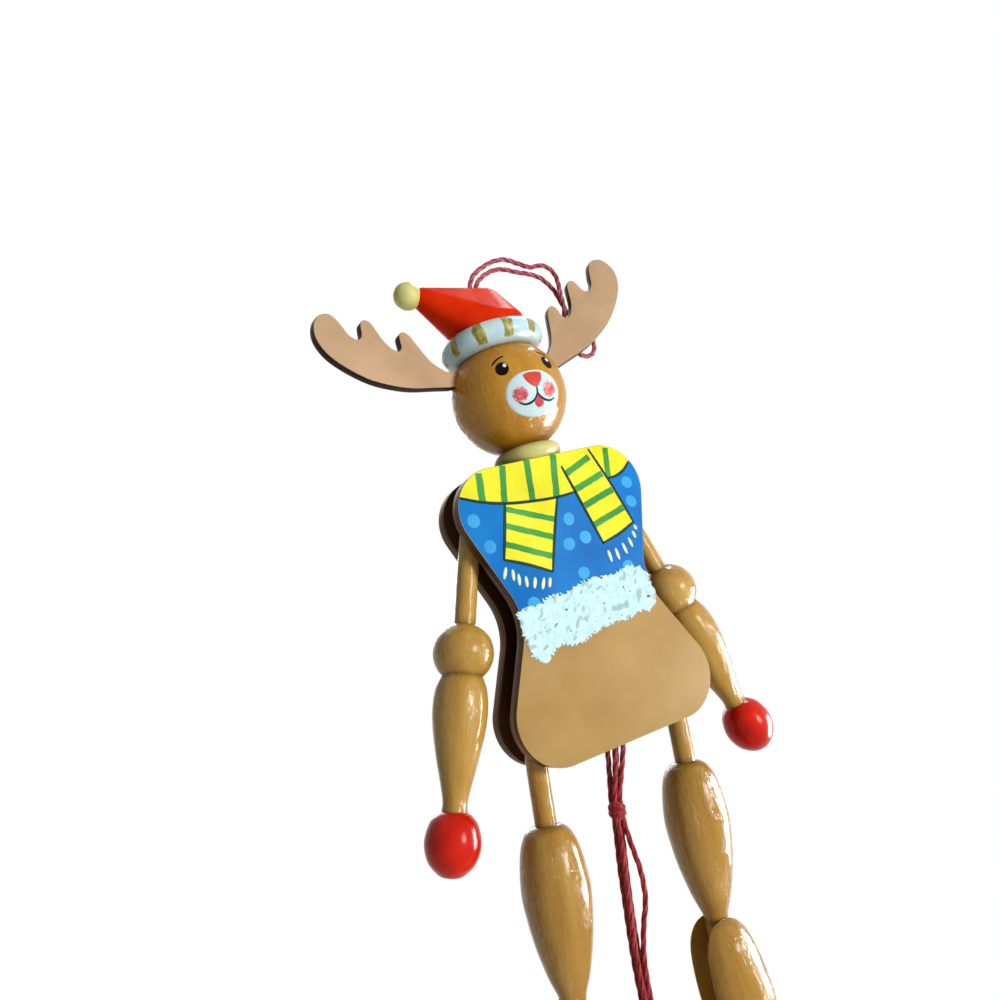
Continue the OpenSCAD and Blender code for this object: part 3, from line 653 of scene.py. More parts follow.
# %% Head ball
head_z, head_r, hat_seat, neck_seat = -37.0, 18.0, 13.4, -17.0
head_outline = ball_outline(head_r, 0, math.degrees(math.asin(hat_seat / head_r)),
                            math.degrees(math.asin(neck_seat / head_r)), 70)
turned_piece("head_turned", head_outline, head_varnish, "figure", ["head"],
             Matrix.Translation((0, 0, head_z)), grooves=(hat_seat, neck_seat + 0.4),
             groove_width=1.5, seed=5.0)
print("head outline has", len(head_outline), "points")


# %% Patches that follow the head
def on_head(across, above, rise):
    a, e, r = math.radians(across), math.radians(above), head_r + rise
    return (r * math.sin(a) * math.cos(e), -r * math.cos(a) * math.cos(e),
            head_z + r * math.sin(e))


def patch(name, outline, rise, finish, rings=8, edge=0.04):
    """A thin coat of paint inside a star-shaped outline, bent over the head."""
    rim = np.array(outline, float)
    middle = rim.mean(axis=0)
    shares = [1.0, 1 - edge] + [(1 - edge) * (1 - k / rings) for k in range(1, rings)]
    heights = [-0.05, rise] + [rise * 1.05] * (rings - 1)
    points = [on_head(*(middle + (p - middle) * s), h) for s, h in zip(shares, heights)
              for p in rim] + [on_head(*middle, rise * 1.05)]
    faces = ring_faces(len(rim), len(shares) - 1, fan=True)
    piece = new_piece(name, points, faces, finish, "figure")
    tell(piece, "rim", np.append(np.repeat(shares, len(rim)), 0))
    return piece


def oval(across, above, half_width, half_height, tilt=0):
    a, turn = np.arange(36) * 2 * math.pi / 36, math.radians(tilt)
    x, y = half_width * np.cos(a), half_height * np.sin(a)
    return np.column_stack([across + x * math.cos(turn) - y * math.sin(turn),
                            above + x * math.sin(turn) + y * math.cos(turn)])


def ring_line(points, steps=5):
    """A closed smooth outline through a few points."""
    looped = list(points[-2:]) + list(points) + list(points[:3])
    curve = smooth_line(looped, steps)
    return curve[2 * steps:(2 + len(points)) * steps]


# %% Brush lines over the head
def brush_path(points, width, taper):
    """A smooth line, its direction, its side, how far along it is and half its width."""
    line = smooth_line(points, 8)
    run = np.gradient(line, axis=0)
    run /= np.linalg.norm(run, axis=1)[:, None]
    side = np.column_stack([-run[:, 1], run[:, 0]])
    t = np.linspace(0, 1, len(line))
    return line, run, side, t, width / 2 * (1 - taper * np.abs(2 * t - 1) ** 2)


def stroke(points, width, taper):
    """Outline of a brush line: round ends, thin where the brush starts and lifts."""
    line, run, side, _, half = brush_path(points, width, taper)
    right, left = line - side * half[:, None], line + side * half[:, None]
    arc = np.linspace(0.4, math.pi - 0.4, 5)
    first = [line[0] + half[0] * (-run[0] * math.sin(a) + side[0] * math.cos(a)) for a in arc]
    final = [line[-1] + half[-1] * (run[-1] * math.sin(a) - side[-1] * math.cos(a)) for a in arc]
    return np.vstack([right, final, left[::-1], first])


def ribbon(name, points, width, rise, finish):
    """A painted line over the head, as a strip with a raised middle."""
    line, _, side, t, half = brush_path(points, width, 0.35)
    half *= np.sqrt(np.clip(1 - np.abs(2 * t - 1) ** 14, 0.02, 1))
    places = (-1, -0.8, 0, 0.8, 1)
    lifts = (-0.05, rise * 0.9, rise, rise * 0.9, -0.05)
    points = [on_head(*(p + s * h * w), lift) for p, s, h in zip(line, side, half)
              for w, lift in zip(places, lifts)]
    n = len(places)
    faces = [(i * n + k, (i + 1) * n + k, (i + 1) * n + k + 1, i * n + k + 1)
             for i in range(len(line) - 1) for k in range(n - 1)]
    faces += [tuple(range(n)), tuple(range(len(line) * n - 1, (len(line) - 1) * n - 1, -1))]
    return new_piece(name, points, faces, finish, "figure")


# %% [markdown]
# ## Brush paints
# The face, the scarf and the sweater are painted by hand with small brushes. Each colour
# is a thin coat that varies along the brush's path and has a soft sheen. One recipe with
# three close colours and a fine streaky bump does for all of them.

# %% Brush paint finishes
def brush_paint(name, pale, main, deep, rough=0.42, streak=(0.25, 1, 1), size=1.0,
                strength=0.35):
    finish, tree, shader = new_finish(name, Roughness=rough, Specular_IOR_Level=0.05)
    place = object_place(tree)
    broad = noise(tree, place, 70 * size, detail=2.0)
    brush = noise(tree, place, 900 * size, streak)
    paint = ramp(tree, broad, [(0.3, deep), (0.5, main), (0.72, pale)])
    lines = ramp(tree, brush, [(0.35, "000000"), (0.75, (strength, strength, strength, 1.0))])
    paint = mix(tree, lines, paint, pale)
    join(shader, "Base Color", paint)
    relief(tree, shader, brush, 0.00003)
    return finish


white_paint = brush_paint("muzzle_white", "DEF2F2", "D0E8EA", "BEE0E6", rough=0.35)
light_paint = brush_paint("eye_light", "FFFFFF", "FCFCFC", "F2F6F6", rough=0.35)
black_paint = brush_paint("eye_black", "221B14", "120E0A", "060505", rough=0.32, strength=0.1)
nose_red = brush_paint("nose_red", "E8675A", "DB463A", "C2302C", strength=0.3)
tongue_red = brush_paint("tongue_red", "E0606A", "D0404E", "B83040", strength=0.3)
brown_line = brush_paint("brow_brown", "35220F", "201304", "120A02", strength=0.1)
mouth_line = brush_paint("mouth_green_black", "24443F", "10302C", "081C1A", strength=0.1)
cheek_red, tree, shader = new_finish("dabbed_cheek", Roughness=0.45, Specular_IOR_Level=0.25)
place = object_place(tree)
sponge = noise(tree, place, 2300)
depth = noise(tree, place, 500, detail=2.0)
outer = math_node(tree, "MULTIPLY_ADD", sponge, 1.2, told(tree, "rim"))
dabbed = ramp(tree, depth, [(0.35, "C83C48"), (0.5, "D8606A"), (0.66, "EC9C90")])
fade = ramp(tree, math_node(tree, "SUBTRACT", outer, 0.72), [(0.6, "000000"), (0.92, "FFFFFF")])
join(shader, "Base Color", mix(tree, fade, dabbed, "D0E8EA"))
relief(tree, shader, sponge, 0.00003)
print("brush paints ready")

# %% Painted face
muzzle = ring_line([(-32.3, -17.4), (-31.5, -11.8), (-27.8, -4.1), (-22.2, 1.0), (-15.2, 4.3),
                    (-7, 5.7), (3, 5.8), (11.1, 3.9), (19.4, -0.8), (25.4, -7.2), (28.6, -14.6),
                    (28.0, -22.5), (23.5, -30.5), (14, -36.6), (3, -38.6), (-7.5, -38.4),
                    (-16.8, -36.0), (-25, -31.6), (-30.4, -24.7)])
patch("muzzle_white", muzzle[::-1], 0.07, white_paint, 14, edge=0.02)
patch("left_eye", oval(-26.8, 13.8, 6.5, 7.1, -8), 0.1, black_paint)
patch("right_eye", oval(23.6, 13.2, 6.3, 7.2, 6), 0.1, black_paint)
for name, across, above in (("left", -23.8, 16.3), ("right", 25.2, 15.9)):
    patch(name + "_eye_light", oval(across, above, 1.8, 2.2, 12), 0.15, light_paint, 4)
ribbon("left_brow", [(-35.4, 20.2), (-31.5, 23.7), (-26.7, 26.3), (-21.4, 27.2)], 2.2, 0.1,
       brown_line)
ribbon("right_brow", [(18.6, 26.4), (24.6, 24.4), (29.6, 21.2)], 2.0, 0.1, brown_line)
nose = ring_line([(-10.7, 1.7), (-9.4, 2.9), (-5, 3.8), (1.9, 3.7), (7.4, 2.8), (8.5, 1.2),
                  (7.5, -3.6), (4.3, -8.2), (1.4, -10.7), (-1.4, -10.7), (-5.8, -7.7),
                  (-9.3, -3)])
patch("nose", nose[::-1], 0.2, nose_red, 8)
patch("left_cheek", oval(-17.4, -14.6, 8.4, 7.8), 0.12, cheek_red, 12)
patch("right_cheek", oval(14.6, -14.2, 8.6, 8.2), 0.12, cheek_red, 12)
ribbon("mouth_left", [(0, -10.2), (-0.1, -13.5), (-0.7, -17.2), (-3.7, -21.5), (-7.4, -23.6),
                      (-11.6, -24.6), (-16.4, -24.1), (-21.5, -20.8)], 2.6, 0.16, mouth_line)
ribbon("mouth_right", [(-0.4, -15.6), (1, -18.2), (3.6, -20.9), (8.7, -23.8), (15.1, -24.6),
                       (20.9, -22.2)], 2.5, 0.17, mouth_line)
tongue = ring_line([(-0.3, -18.4), (-2.6, -20.8), (-4.6, -23), (-4.6, -26), (-2.8, -28.6),
                    (0, -29.9), (3.2, -29.4), (5.8, -27.4), (6.2, -24.6), (3.6, -22.2),
                    (1.2, -19.8)])
patch("tongue", tongue[::-1], 0.13, tongue_red, 5)
print("face painted")

# %% [markdown]
# ## The neck ring and the hat
# The ring is a turned disc with a round edge. The brim is a thick one, painted white with
# gold stripes that run over its edge. The stripes could be separate patches, but their
# shape is a rule, an angle round the brim, so the finish works it out: an arctangent
# gives the angle, a fraction repeats it eleven times and a little noise makes it unsteady.

# %% The neck ring
def round_disc(diameter, height, bottom, steps=18):
    reach = (diameter - height) / 2
    curve = ball_outline(height / 2, bottom + height / 2, 90, -90, steps)
    return curve + [(reach, 0)]


ring_d, ring_t, ring_z = 21.0, 4.8, -58.8
brim_d, brim_h, brim_z = 32.6, 7.8, head_z + hat_seat
brim_stripes, first_stripe, stripe_half, stripe_foot = 11, 10.677, 0.16, -0.022
turned_piece("neck_ring_turned", round_disc(ring_d, ring_t, ring_z), ring_gold, "figure",
             ["neck_ring"], sharp=70)
print("neck ring:", ring_d, "mm across and", ring_t, "mm thick")

# %% The brim and its stripes
brim_paint, tree, shader = new_finish("brim_white_and_gold", Roughness=0.34,
                                      Specular_IOR_Level=0.25)
place = object_place(tree)
axes = add(tree, "ShaderNodeSeparateXYZ", {0: place}).outputs
wobble = noise(tree, place, 190, detail=2.0)
angle = math_node(tree, "ARCTAN2", axes["X"], axes["Y"])
angle = math_node(tree, "MULTIPLY_ADD", wobble, 0.16, angle)
stripe = math_node(tree, "MULTIPLY_ADD", angle, brim_stripes / (2 * math.pi), first_stripe)
stripe = math_node(tree, "SUBTRACT", math_node(tree, "FRACT", stripe), 0.5)
stripe = math_node(tree, "ABSOLUTE", stripe)
width = math_node(tree, "MULTIPLY_ADD", noise(tree, place, 60, detail=1.0), 0.03, stripe_half)
inside = math_node(tree, "SUBTRACT", width, stripe)
inside = math_node(tree, "MULTIPLY", inside, 60, clamp=True)
foot = math_node(tree, "MULTIPLY_ADD", wobble, 0.0016, axes["Z"])
foot = add(tree, "ShaderNodeMapRange", {0: foot, 1: stripe_foot - 0.0002,
                                        2: stripe_foot + 0.0002}).outputs[0]
inside = math_node(tree, "MULTIPLY", inside, foot)
slow = noise(tree, place, 110)
streaks = noise(tree, place, 900, (1, 1, 0.2))
white = ramp(tree, slow, [(0.3, "B4D8E0"), (0.5, "CFE8EC"), (0.7, "E6F6F4")])
gold = ramp(tree, streaks, [(0.3, "756A20"), (0.5, "A29A4A"), (0.7, "CFCB7C")])
join(shader, "Base Color", mix(tree, inside, white, gold))
relief(tree, shader, streaks, 0.00004)
turned_piece("hat_brim_turned", round_disc(brim_d, brim_h, brim_z, 30), brim_paint,
             "figure", ["hat_brim"], sharp=70)
print("brim:", brim_d, "mm across, with", brim_stripes, "gold stripes")

# %% [markdown]
# ## The red hat
# The hat is carved: a round foot that narrows, bends over and ends in a small tip. The
# shape is what a tight skin over two discs and three balls makes, a convex hull. The
# hull's long thin faces would shade badly, so a voxel remesh gives it even faces, and a
# little smoothing rounds the ridges as sanding does. The cord's hole is drilled last.

# %% Hat
def fibonacci_ball(middle, radius, count=500):
    k = np.arange(count) + 0.5
    polar, around = np.arccos(1 - 2 * k / count), math.pi * (1 + 5 ** 0.5) * k
    return np.column_stack([np.cos(around) * np.sin(polar), np.sin(around) * np.sin(polar),
                            np.cos(polar)]) * radius + middle


bend_r, tip_r, tip_x, tip_z = 5.5, 3.7, -17.6, -1.5
around = np.linspace(0, 2 * math.pi, 121)[:-1]
rings = [np.column_stack([x + r * np.cos(around), r * np.sin(around), np.full(120, z)])
         for x, r, z in ((1, 11.4, -16.4), (1, 11.4, -14.8), (0.66, 11.74, -13.6),
                         (0.66, 11.74, -12.6))]
shell = np.vstack(rings + [fibonacci_ball((2.6, 0, -5.5), bend_r),
                           fibonacci_ball((4.6, 0, -2.0), 1.8, 200),
                           fibonacci_ball((tip_x, 0, tip_z), tip_r, 300)])
skin = bmesh.new()
for p in shell:
    skin.verts.new(Vector(p) * MM)
hull = bmesh.ops.convex_hull(skin, input=skin.verts)
loose = [v for v in hull["geom_interior"] if isinstance(v, bmesh.types.BMVert)]
bmesh.ops.delete(skin, geom=loose, context="VERTS")
bmesh.ops.recalc_face_normals(skin, faces=skin.faces)
hat = link(bare("hat_carved", []))
skin.to_mesh(hat.data)
skin.free()
hat.data.materials.append(hat_red)
change(hat, "REMESH", mode="VOXEL", voxel_size=0.00035)
change(hat, "SMOOTH", factor=0.5, iterations=3)
points, faces = lathe([(0, 6.0), (2.1, 6.0), (2.1, -6.0), (0, -6.0)], 40)
drill = link(bare("drill", points, faces=faces))
change(hat, "BOOLEAN", operation="DIFFERENCE", solver="EXACT", object=drill)
applied(hat)
bpy.data.objects.remove(drill)
shade(hat, 60)
settle(hat, "figure", ["hat_cone"])
print("hat:", len(hat.data.polygons), "faces")

# %% Gold bead at the tip
pompom_r, pompom_sink, pompom_lift = 4.3, 2.8, math.radians(18)
reach = tip_r + pompom_r - pompom_sink
bead_mid = (tip_x - reach * math.cos(pompom_lift), 0, tip_z + reach * math.sin(pompom_lift))
turned_piece("pompom_turned", ball_outline(pompom_r, 0, 90, -90, 50), pale_gold, "figure",
             ["pompom"], Matrix.Translation(bead_mid))
print("bead at", [round(v, 1) for v in bead_mid], "mm")

# %% [markdown]
# ## The sawn boards
# Antlers and body boards are jigsawn from plywood and sanded. Their CAD shapes are right,
# but a real board's edge is never razor sharp. In a copy of each CAD mesh doubled points
# are merged and flat faces joined again, and a small bevel runs round every edge. The
# flat faces take the board's colour, and the sawn sides take a dark stain with the plies
# showing. The front board's bevel is paler than its face.

# %% Board finishes
def ply_edge(name, pale, main, deep):
    finish, tree, shader = new_finish(name, Roughness=0.5, Specular_IOR_Level=0.08)
    place = object_place(tree)
    plies = noise(tree, place, 1, (40, 1100, 40), detail=2.0)
    fine = noise(tree, place, 700)
    wood = ramp(tree, plies, [(0.35, deep), (0.5, main), (0.72, pale)])
    wood = mix(tree, math_node(tree, "MULTIPLY", fine, 0.4), wood, deep)
    join(shader, "Base Color", wood)
    relief(tree, shader, fine, 0.00008)
    return finish


def flat_stain(name, pale, main, deep, rough=0.5, run=(30, 1, 420)):
    """Stain on a board's face, with grain lines that run along the board."""
    finish, tree, shader = new_finish(name, Roughness=rough, Specular_IOR_Level=0.07)
    place = object_place(tree)
    cloud = noise(tree, place, 45)
    lines = noise(tree, place, 1, run, detail=4.0)
    speck = noise(tree, place, 2200, detail=1.0)
    wood = ramp(tree, cloud, [(0.3, deep), (0.5, main), (0.72, pale)])
    wood = mix(tree, ramp(tree, lines, [(0.4, "000000"), (0.7, "4A4A4A")]), wood, deep)
    join(shader, "Base Color", wood)
    relief(tree, shader, math_node(tree, "ADD", lines, speck), 0.00003)
    return finish


antler_tan = flat_stain("antler_tan", "CDAA86", "C2A07C", "B59270", 0.55, (300, 1, 40))
antler_edge = ply_edge("antler_edge", "4A2E1A", "2E1B0E", "180D06")
board_tan = flat_stain("board_tan", "BE9A5E", "B69256", "AC874B", 0.45, (35, 1, 260))
board_edge = ply_edge("board_edge", "946A2E", "5E3E18", "2E1A08")
# A dark brown for the back board's faces and the neck block: partly stain, and partly painted shade
# that keeps the gap between the boards dark.
board_dark = flat_stain("board_dark", "5A3818", "3E240D", "281405", 0.45, (300, 1, 30))
print("board finishes:", [wood.name for wood in (antler_tan, board_tan, board_dark)])


# %% Softened copies of the CAD boards
def soften(node, name, finishes, facing, bevel):
    """A copy of a sawn board with sanded edges. facing says which finish a normal takes."""
    work = bmesh.new()
    work.from_mesh(nodes[node].data)
    bmesh.ops.remove_doubles(work, verts=work.verts, dist=1e-6)
    bmesh.ops.dissolve_limit(work, angle_limit=math.radians(0.5), verts=work.verts,
                             edges=work.edges)
    piece = link(bare(name, []))
    work.to_mesh(piece.data)
    work.free()
    for finish in finishes:
        piece.data.materials.append(finish)
    sand(piece, bevel, 3, 50)
    applied(piece)
    for face in piece.data.polygons:
        face.material_index = facing(face.normal)
    shade(piece, 35)
    print(name, "has", len(piece.data.polygons), "faces")
    return settle(piece, "figure", [node])


def by_front(normal):
    return 0 if abs(normal.y) > 0.75 else 1


for word in ("left", "right"):
    soften(word + "_antler", word + "_antler_board", [antler_tan, antler_edge], by_front, 0.25)
# The back board's dark faces are partly painted shade for the gap between the boards.
soften("back_board", "back_board_stained", [board_dark, board_edge], by_front, 0.5)
# The front board's bevel takes a paler colour than its face.
worn_rim = flat_stain("worn_rim", "F2E2B4", "C49E62", "8A6428", 0.4, (260, 40, 260))
soften("front_board", "front_board_painted", [board_tan, board_edge, worn_rim],
       lambda n: 0 if n.y < -0.9 else 2 if n.y < -0.25 else 1, 0.35)

# %% [markdown]
# ## The painted front
# The sweater, the scarf and the fur hem are thin coats on the flat board. An image would
# be one way to hold them, but shapes stay sharp at any size. Each coat is a flat outline
# 0.06 to 0.24 mm high, and the coats lie on each other in the order in which they were
# painted. The board's outline is read from the CAD board, so that the paint fits it.

# %% The rim of the front board
front_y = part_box("front_board")[0].y / MM
rim_points = {(round(v.co.x / MM, 3), round(v.co.z / MM, 3))
              for v in nodes["front_board"].data.vertices if abs(v.co.y / MM - front_y) < 1e-3}
board_mid = (0.0, -101.2)
rim_points = sorted(rim_points, key=lambda p: (math.atan2(p[1] - board_mid[1], p[0])
                                               + math.pi / 2) % (2 * math.pi))
board_rim = []
for a, b in zip(rim_points, rim_points[1:] + rim_points[:1]):
    count = max(1, int(math.dist(a, b) / 0.5))
    board_rim += [(a[0] + (b[0] - a[0]) * k / count, a[1] + (b[1] - a[1]) * k / count)
                  for k in range(count)]
board_rim = np.array(board_rim)
tangent = np.roll(board_rim, -1, axis=0) - np.roll(board_rim, 1, axis=0)
tangent /= np.linalg.norm(tangent, axis=1)[:, None]
inward = np.column_stack([-tangent[:, 1], tangent[:, 0]])
bare_rim = 0.12
painted_rim = board_rim + inward * bare_rim
print("board rim:", len(board_rim), "points")


# %% Coats of paint
def coat(name, outline, rise, finish):
    """A flat coat of paint of any outline, counter-clockwise, with a rounded shoulder."""
    rim = np.array(outline, float)
    run = np.roll(rim, -1, axis=0) - np.roll(rim, 1, axis=0)
    run /= np.maximum(np.linalg.norm(run, axis=1), 1e-9)[:, None]
    inner = rim + np.column_stack([-run[:, 1], run[:, 0]]) * 0.06
    n = len(rim)
    points = [(x, front_y - up, z) for line, up in ((rim, -0.3), (rim, rise * 0.6), (inner, rise))
              for x, z in line]
    faces = ring_faces(n, 2) + [tuple(range(2 * n, 3 * n))]
    return new_piece(name, points, faces, finish, "figure", sharp=30)


def above(edge):
    """The painted part of the board above an edge that runs from left to right."""
    line = smooth_line(edge, 8)
    kept = [p for p in painted_rim if p[1] > np.interp(p[0], line[:, 0], line[:, 1])]
    inner = [q for q in line if kept[-1][0] < q[0] < kept[0][0]]
    return np.vstack([kept, inner])


# %% Sweater and scarf
sweater_blue = brush_paint("sweater_blue", "208AD8", "1478C8", "0E68B6", streak=(1, 1, 0.4),
                           size=0.6, strength=0.15)
scarf_yellow = brush_paint("scarf_yellow", "F7F240", "F2EB28", "E8DD20", streak=(1, 1, 0.3),
                           strength=0.2)
scarf_green = brush_paint("scarf_green", "57AC52", "3F9A42", "2F8237", strength=0.3)
line_green = brush_paint("outline_green", "16483E", "0C3630", "062622", strength=0.2)
dot_blue = brush_paint("dot_blue", "4AB6EC", "3EA8E2", "3298D6", strength=0.3)
fringe_cream = brush_paint("fringe_cream", "F6FBD4", "E6F0A8", "D0E07E", strength=0.5)

coat("sweater", above([(-40, -104.5), (-22.3, -104), (22.1, -103), (40, -103)]), 0.06,
     sweater_blue)
scarf_edge = [(-34, -63.6), (-29.4, -65.6), (-23.7, -68.0), (-16.4, -70.0), (-8.4, -71.1),
              (0.4, -71.7), (7.2, -71.4), (14, -70.4), (20, -69.6), (23.1, -69.4),
              (26.3, -68.3), (29.3, -66.1), (33, -62.5)]
coat("scarf_band", above(scarf_edge), 0.12, scarf_yellow)
left_tail = [(-16.5, -70.2), (-22.0, -85.4), (-8.3, -92.2), (0.6, -71.9)]
right_tail = [(5.4, -63.2), (10.9, -88.3), (23.6, -84.6), (16.6, -60.0)]
coat("scarf_tail_left", left_tail, 0.12, scarf_yellow)
coat("scarf_tail_right", right_tail, 0.16, scarf_yellow)
print("sweater, scarf band and two tails painted")

# %% Scarf stripes
band_stripes = [((-21.6, -59.8), (-23.0, -68.0), 2.2), ((-13.6, -59.0), (-16.5, -69.9), 2.0),
                ((-5.4, -58.9), (-7.5, -71.0), 2.1), ((3.8, -58.9), (0.6, -71.5), 2.2),
                ((22.5, -60.2), (20.1, -69.4), 2.0)]
left_stripes = [((-16.9, -71.6), (-2.0, -78.1), 1.75), ((-18.7, -76.1), (-4.4, -82.9), 1.8),
                ((-20.5, -81.1), (-6.8, -88.1), 1.8)]
right_stripes = [((6.2, -65.5), (15.8, -61.9), 2.0), ((7.6, -70.8), (18.5, -67.8), 2.0),
                 ((8.8, -76.2), (20.2, -73.3), 2.0), ((10.0, -82.4), (21.9, -79.5), 2.0)]
random.seed(4)


def stripe(start, end, width):
    """A band painted with a flat brush: straight, with slightly unsteady sides."""
    start, end = np.array(start), np.array(end)
    run = (end - start) / np.linalg.norm(end - start)
    side = np.array([-run[1], run[0]])

    def edge(sign):
        return [start + (end - start) * t + sign * side * (width / 2 + random.uniform(-0.08, 0.08))
                for t in np.linspace(0, 1, 12)]

    low, high = edge(-1), edge(1)
    return np.vstack([low, high[::-1]])


for title, stripes, rise in (("band_stripe", band_stripes, 0.16),
                             ("left_tail_stripe", left_stripes, 0.16),
                             ("right_tail_stripe", right_stripes, 0.2)):
    for k, (start, end, width) in enumerate(stripes):
        coat("%s_%d" % (title, k + 1), stripe(start, end, width), rise, scarf_green)
print("stripes:", len(band_stripes + left_stripes + right_stripes))

# %% Scarf outlines
outlines = {
    "scarf_line_left": [(-29.2, -65.7), (-23.7, -68.0), (-16.4, -70.0), (-8.4, -71.1), (0.4, -71.7),
                        (7.4, -71.4)],
    "scarf_line_right": [(19.9, -69.7), (23.1, -69.5), (26.3, -68.3), (29.0, -66.2)],
    "left_tail_line_a": [(-16.5, -70.2), (-19, -77.4), (-21.9, -85.2)],
    "left_tail_line_b": [(-22.0, -85.4), (-15.4, -88.4), (-8.5, -92.2)],
    "left_tail_line_c": [(0.6, -71.9), (-4, -82), (-8.3, -92.2)],
    "right_tail_line_a": [(5.4, -63.2), (7.4, -72), (10.9, -88.2)],
    "right_tail_line_b": [(10.9, -88.3), (17.6, -86.8), (23.5, -84.6)],
    "right_tail_line_c": [(16.4, -59.7), (20.4, -72), (23.6, -84.6)],
}
for name, points in outlines.items():
    coat(name, stroke(points, 0.92, 0.3), 0.24, line_green)
print("scarf painted with", len(outlines), "outlines")

# %% [markdown]
# ## Dots, fringe and fur by Geometry Nodes
# The sweater's dots, the scarf's fringe and the dabs of the fur hem are the same few
# brush marks again and again. Copies could be placed one by one in code, but a node tree
# does it with fewer lines: it puts one mark on every point it is given, and each point
# says how far its mark is turned and how long and wide it is. A few flat grey marks over
# the white ones give the fur its shade.

# %% The dabbing tree
def dabbing_tree():
    tree, given = node_group("brush_dabs", [
        ("Mark", "Object", None), ("Finish", "Material", None), ("Height", "Float", 1.0)])

    def fact(name):
        made = add(tree, "GeometryNodeInputNamedAttribute", {"Name": name})
        return made.outputs["Attribute"]

    mark = add(tree, "GeometryNodeObjectInfo", {"Object": given["Mark"]})
    turn = add(tree, "ShaderNodeCombineXYZ", {"Y": fact("turn")})
    size = add(tree, "ShaderNodeCombineXYZ", {"X": fact("wide"), "Y": given["Height"],
                                              "Z": fact("long")})
    marks = add(tree, "GeometryNodeInstanceOnPoints", {
        "Points": given["Geometry"], "Instance": mark.outputs["Geometry"],
        "Rotation": turn.outputs[0], "Scale": size.outputs[0]})
    return close_group(tree, marks.outputs[0], given["Finish"])


dab_tree = dabbing_tree()
print("dabbing tree:", len(dab_tree.nodes), "nodes")

# %% One brush mark
dab_sides = 16
dome = [(math.cos(a), math.sin(a)) for a in np.linspace(0, 2 * math.pi, dab_sides + 1)[:-1]]
dab_points = [(x * s * 0.5, -h, z * s * 0.5) for s, h in ((1, -0.05), (0.86, 0.06), (0.5, 0.1))
              for x, z in dome] + [(0, -0.11, 0)]
dab = bare("dab", dab_points, faces=ring_faces(dab_sides, 2, fan=True))


def dabs(name, marks, rise, finish, height=1.0):
    """One piece of brush marks. A mark is x, z, turn in degrees, width and length in mm."""
    piece = link(bare(name, [(x, front_y - rise, z) for x, z, *_ in marks]))
    for word, values in zip(("turn", "wide", "long"), np.array(marks, float).T[2:]):
        tell(piece, word, np.radians(values) if word == "turn" else values)
    with_nodes(piece, dab_tree, Mark=dab, Finish=finish, Height=height)
    shade(piece)
    print(name, "has", len(marks), "marks")
    return settle(piece, "figure")


# %% Dots and fringe
dot_places = [(-27.4, -72.8), (-24.9, -80.9), (2.2, -78.8), (5.7, -85.2), (-0.4, -85.9),
              (1.4, -95.1), (-17.1, -99.4), (26.1, -72.2), (25.4, -78.2), (16.7, -97.0)]
dabs("sweater_dots", [(x, z, 17 * k, 4.2 - 0.2 * (k % 3), 4.3 - 0.15 * (k % 2))
                      for k, (x, z) in enumerate(dot_places)], 0.06, dot_blue, 0.4)
fringe_ends = [((-22.0, -87.4), (-23.8, -90.7)), ((-20.3, -88.4), (-21.0, -91.9)),
               ((-19.0, -90.0), (-19.7, -93.6)), ((-17.0, -91.2), (-17.6, -94.6)),
               ((-14.2, -92.2), (-15.6, -95.5)), ((-11.5, -93.0), (-13.3, -96.4)),
               ((-9.6, -93.5), (-11.0, -96.4)), ((11.7, -90.5), (11.8, -94.5)),
               ((14.4, -90.5), (14.6, -94.5)), ((17.3, -89.6), (17.9, -93.5)),
               ((20.0, -88.5), (20.5, -91.9)), ((22.2, -87.0), (22.6, -89.5)),
               ((23.4, -85.4), (24.0, -87.1))]
fringe_marks = []
for (x0, z0), (x1, z1) in fringe_ends:
    turn = math.degrees(math.atan2(x1 - x0, z1 - z0))
    fringe_marks.append(((x0 + x1) / 2, (z0 + z1) / 2, turn, 1.1, math.dist((x0, z0), (x1, z1))))
dabs("scarf_fringe", fringe_marks, 0.06, fringe_cream, 0.8)

# %% Fur hem
fur_finish, tree, shader = new_finish("fur_white", Roughness=0.6, Specular_IOR_Level=0.12)
place = object_place(tree)
tufts = noise(tree, place, 520, detail=4.0)
shades = noise(tree, place, 330, detail=2.0, shift=(0.3, 0.1, 0.7))
fur = ramp(tree, tufts, [(0.3, "C2EAEE"), (0.48, "CCF0F3"), (0.65, "D8F6F6")])
fur = mix(tree, ramp(tree, shades, [(0.6, "000000"), (0.68, "D0D0D0")]), fur, "8FA8A2")
specks = noise(tree, place, 650, detail=0.0, shift=(5.1, 2.2, 0.4))
fur = mix(tree, ramp(tree, specks, [(0.79, "000000"), (0.83, "FFFFFF")]), fur, "5C666C")
join(shader, "Base Color", fur)
relief(tree, shader, tufts, 0.00008)
fur_grey = brush_paint("fur_grey", "BCDEDE", "AACCCC", "98B8B8", size=3.0)
hem = ring_line([(-22.7, -101.2), (-22.5, -108), (-22.0, -112.0), (-20.4, -114.2),
                 (-18.6, -115.0), (-16.0, -113.4), (-13.6, -111.9), (-10.2, -112.9),
                 (-6.2, -113.1), (-2.3, -112.0), (1.0, -111.3), (6.3, -111.0), (11.7, -110.9),
                 (17.5, -110.4), (20.8, -109.6), (22.0, -107.4), (21.9, -103.6),
                 (21.3, -100.6), (20.0, -98.9), (17.9, -97.7), (14.3, -97.4), (10.2, -98.4),
                 (6.0, -98.0), (2.6, -97.7), (-2.2, -98.2), (-5.2, -99.6), (-9.8, -99.2),
                 (-13.2, -99.4), (-16.0, -100.6), (-19.3, -100.4)], 6)
random.seed(11)
ragged = np.array([p + np.array((random.uniform(-0.25, 0.25), random.uniform(-0.25, 0.25)))
                   for p in hem])
coat("fur_base", ragged, 0.2, fur_finish)
print("fur base outline has", len(ragged), "points")

# %% Fur marks
fur_marks = []


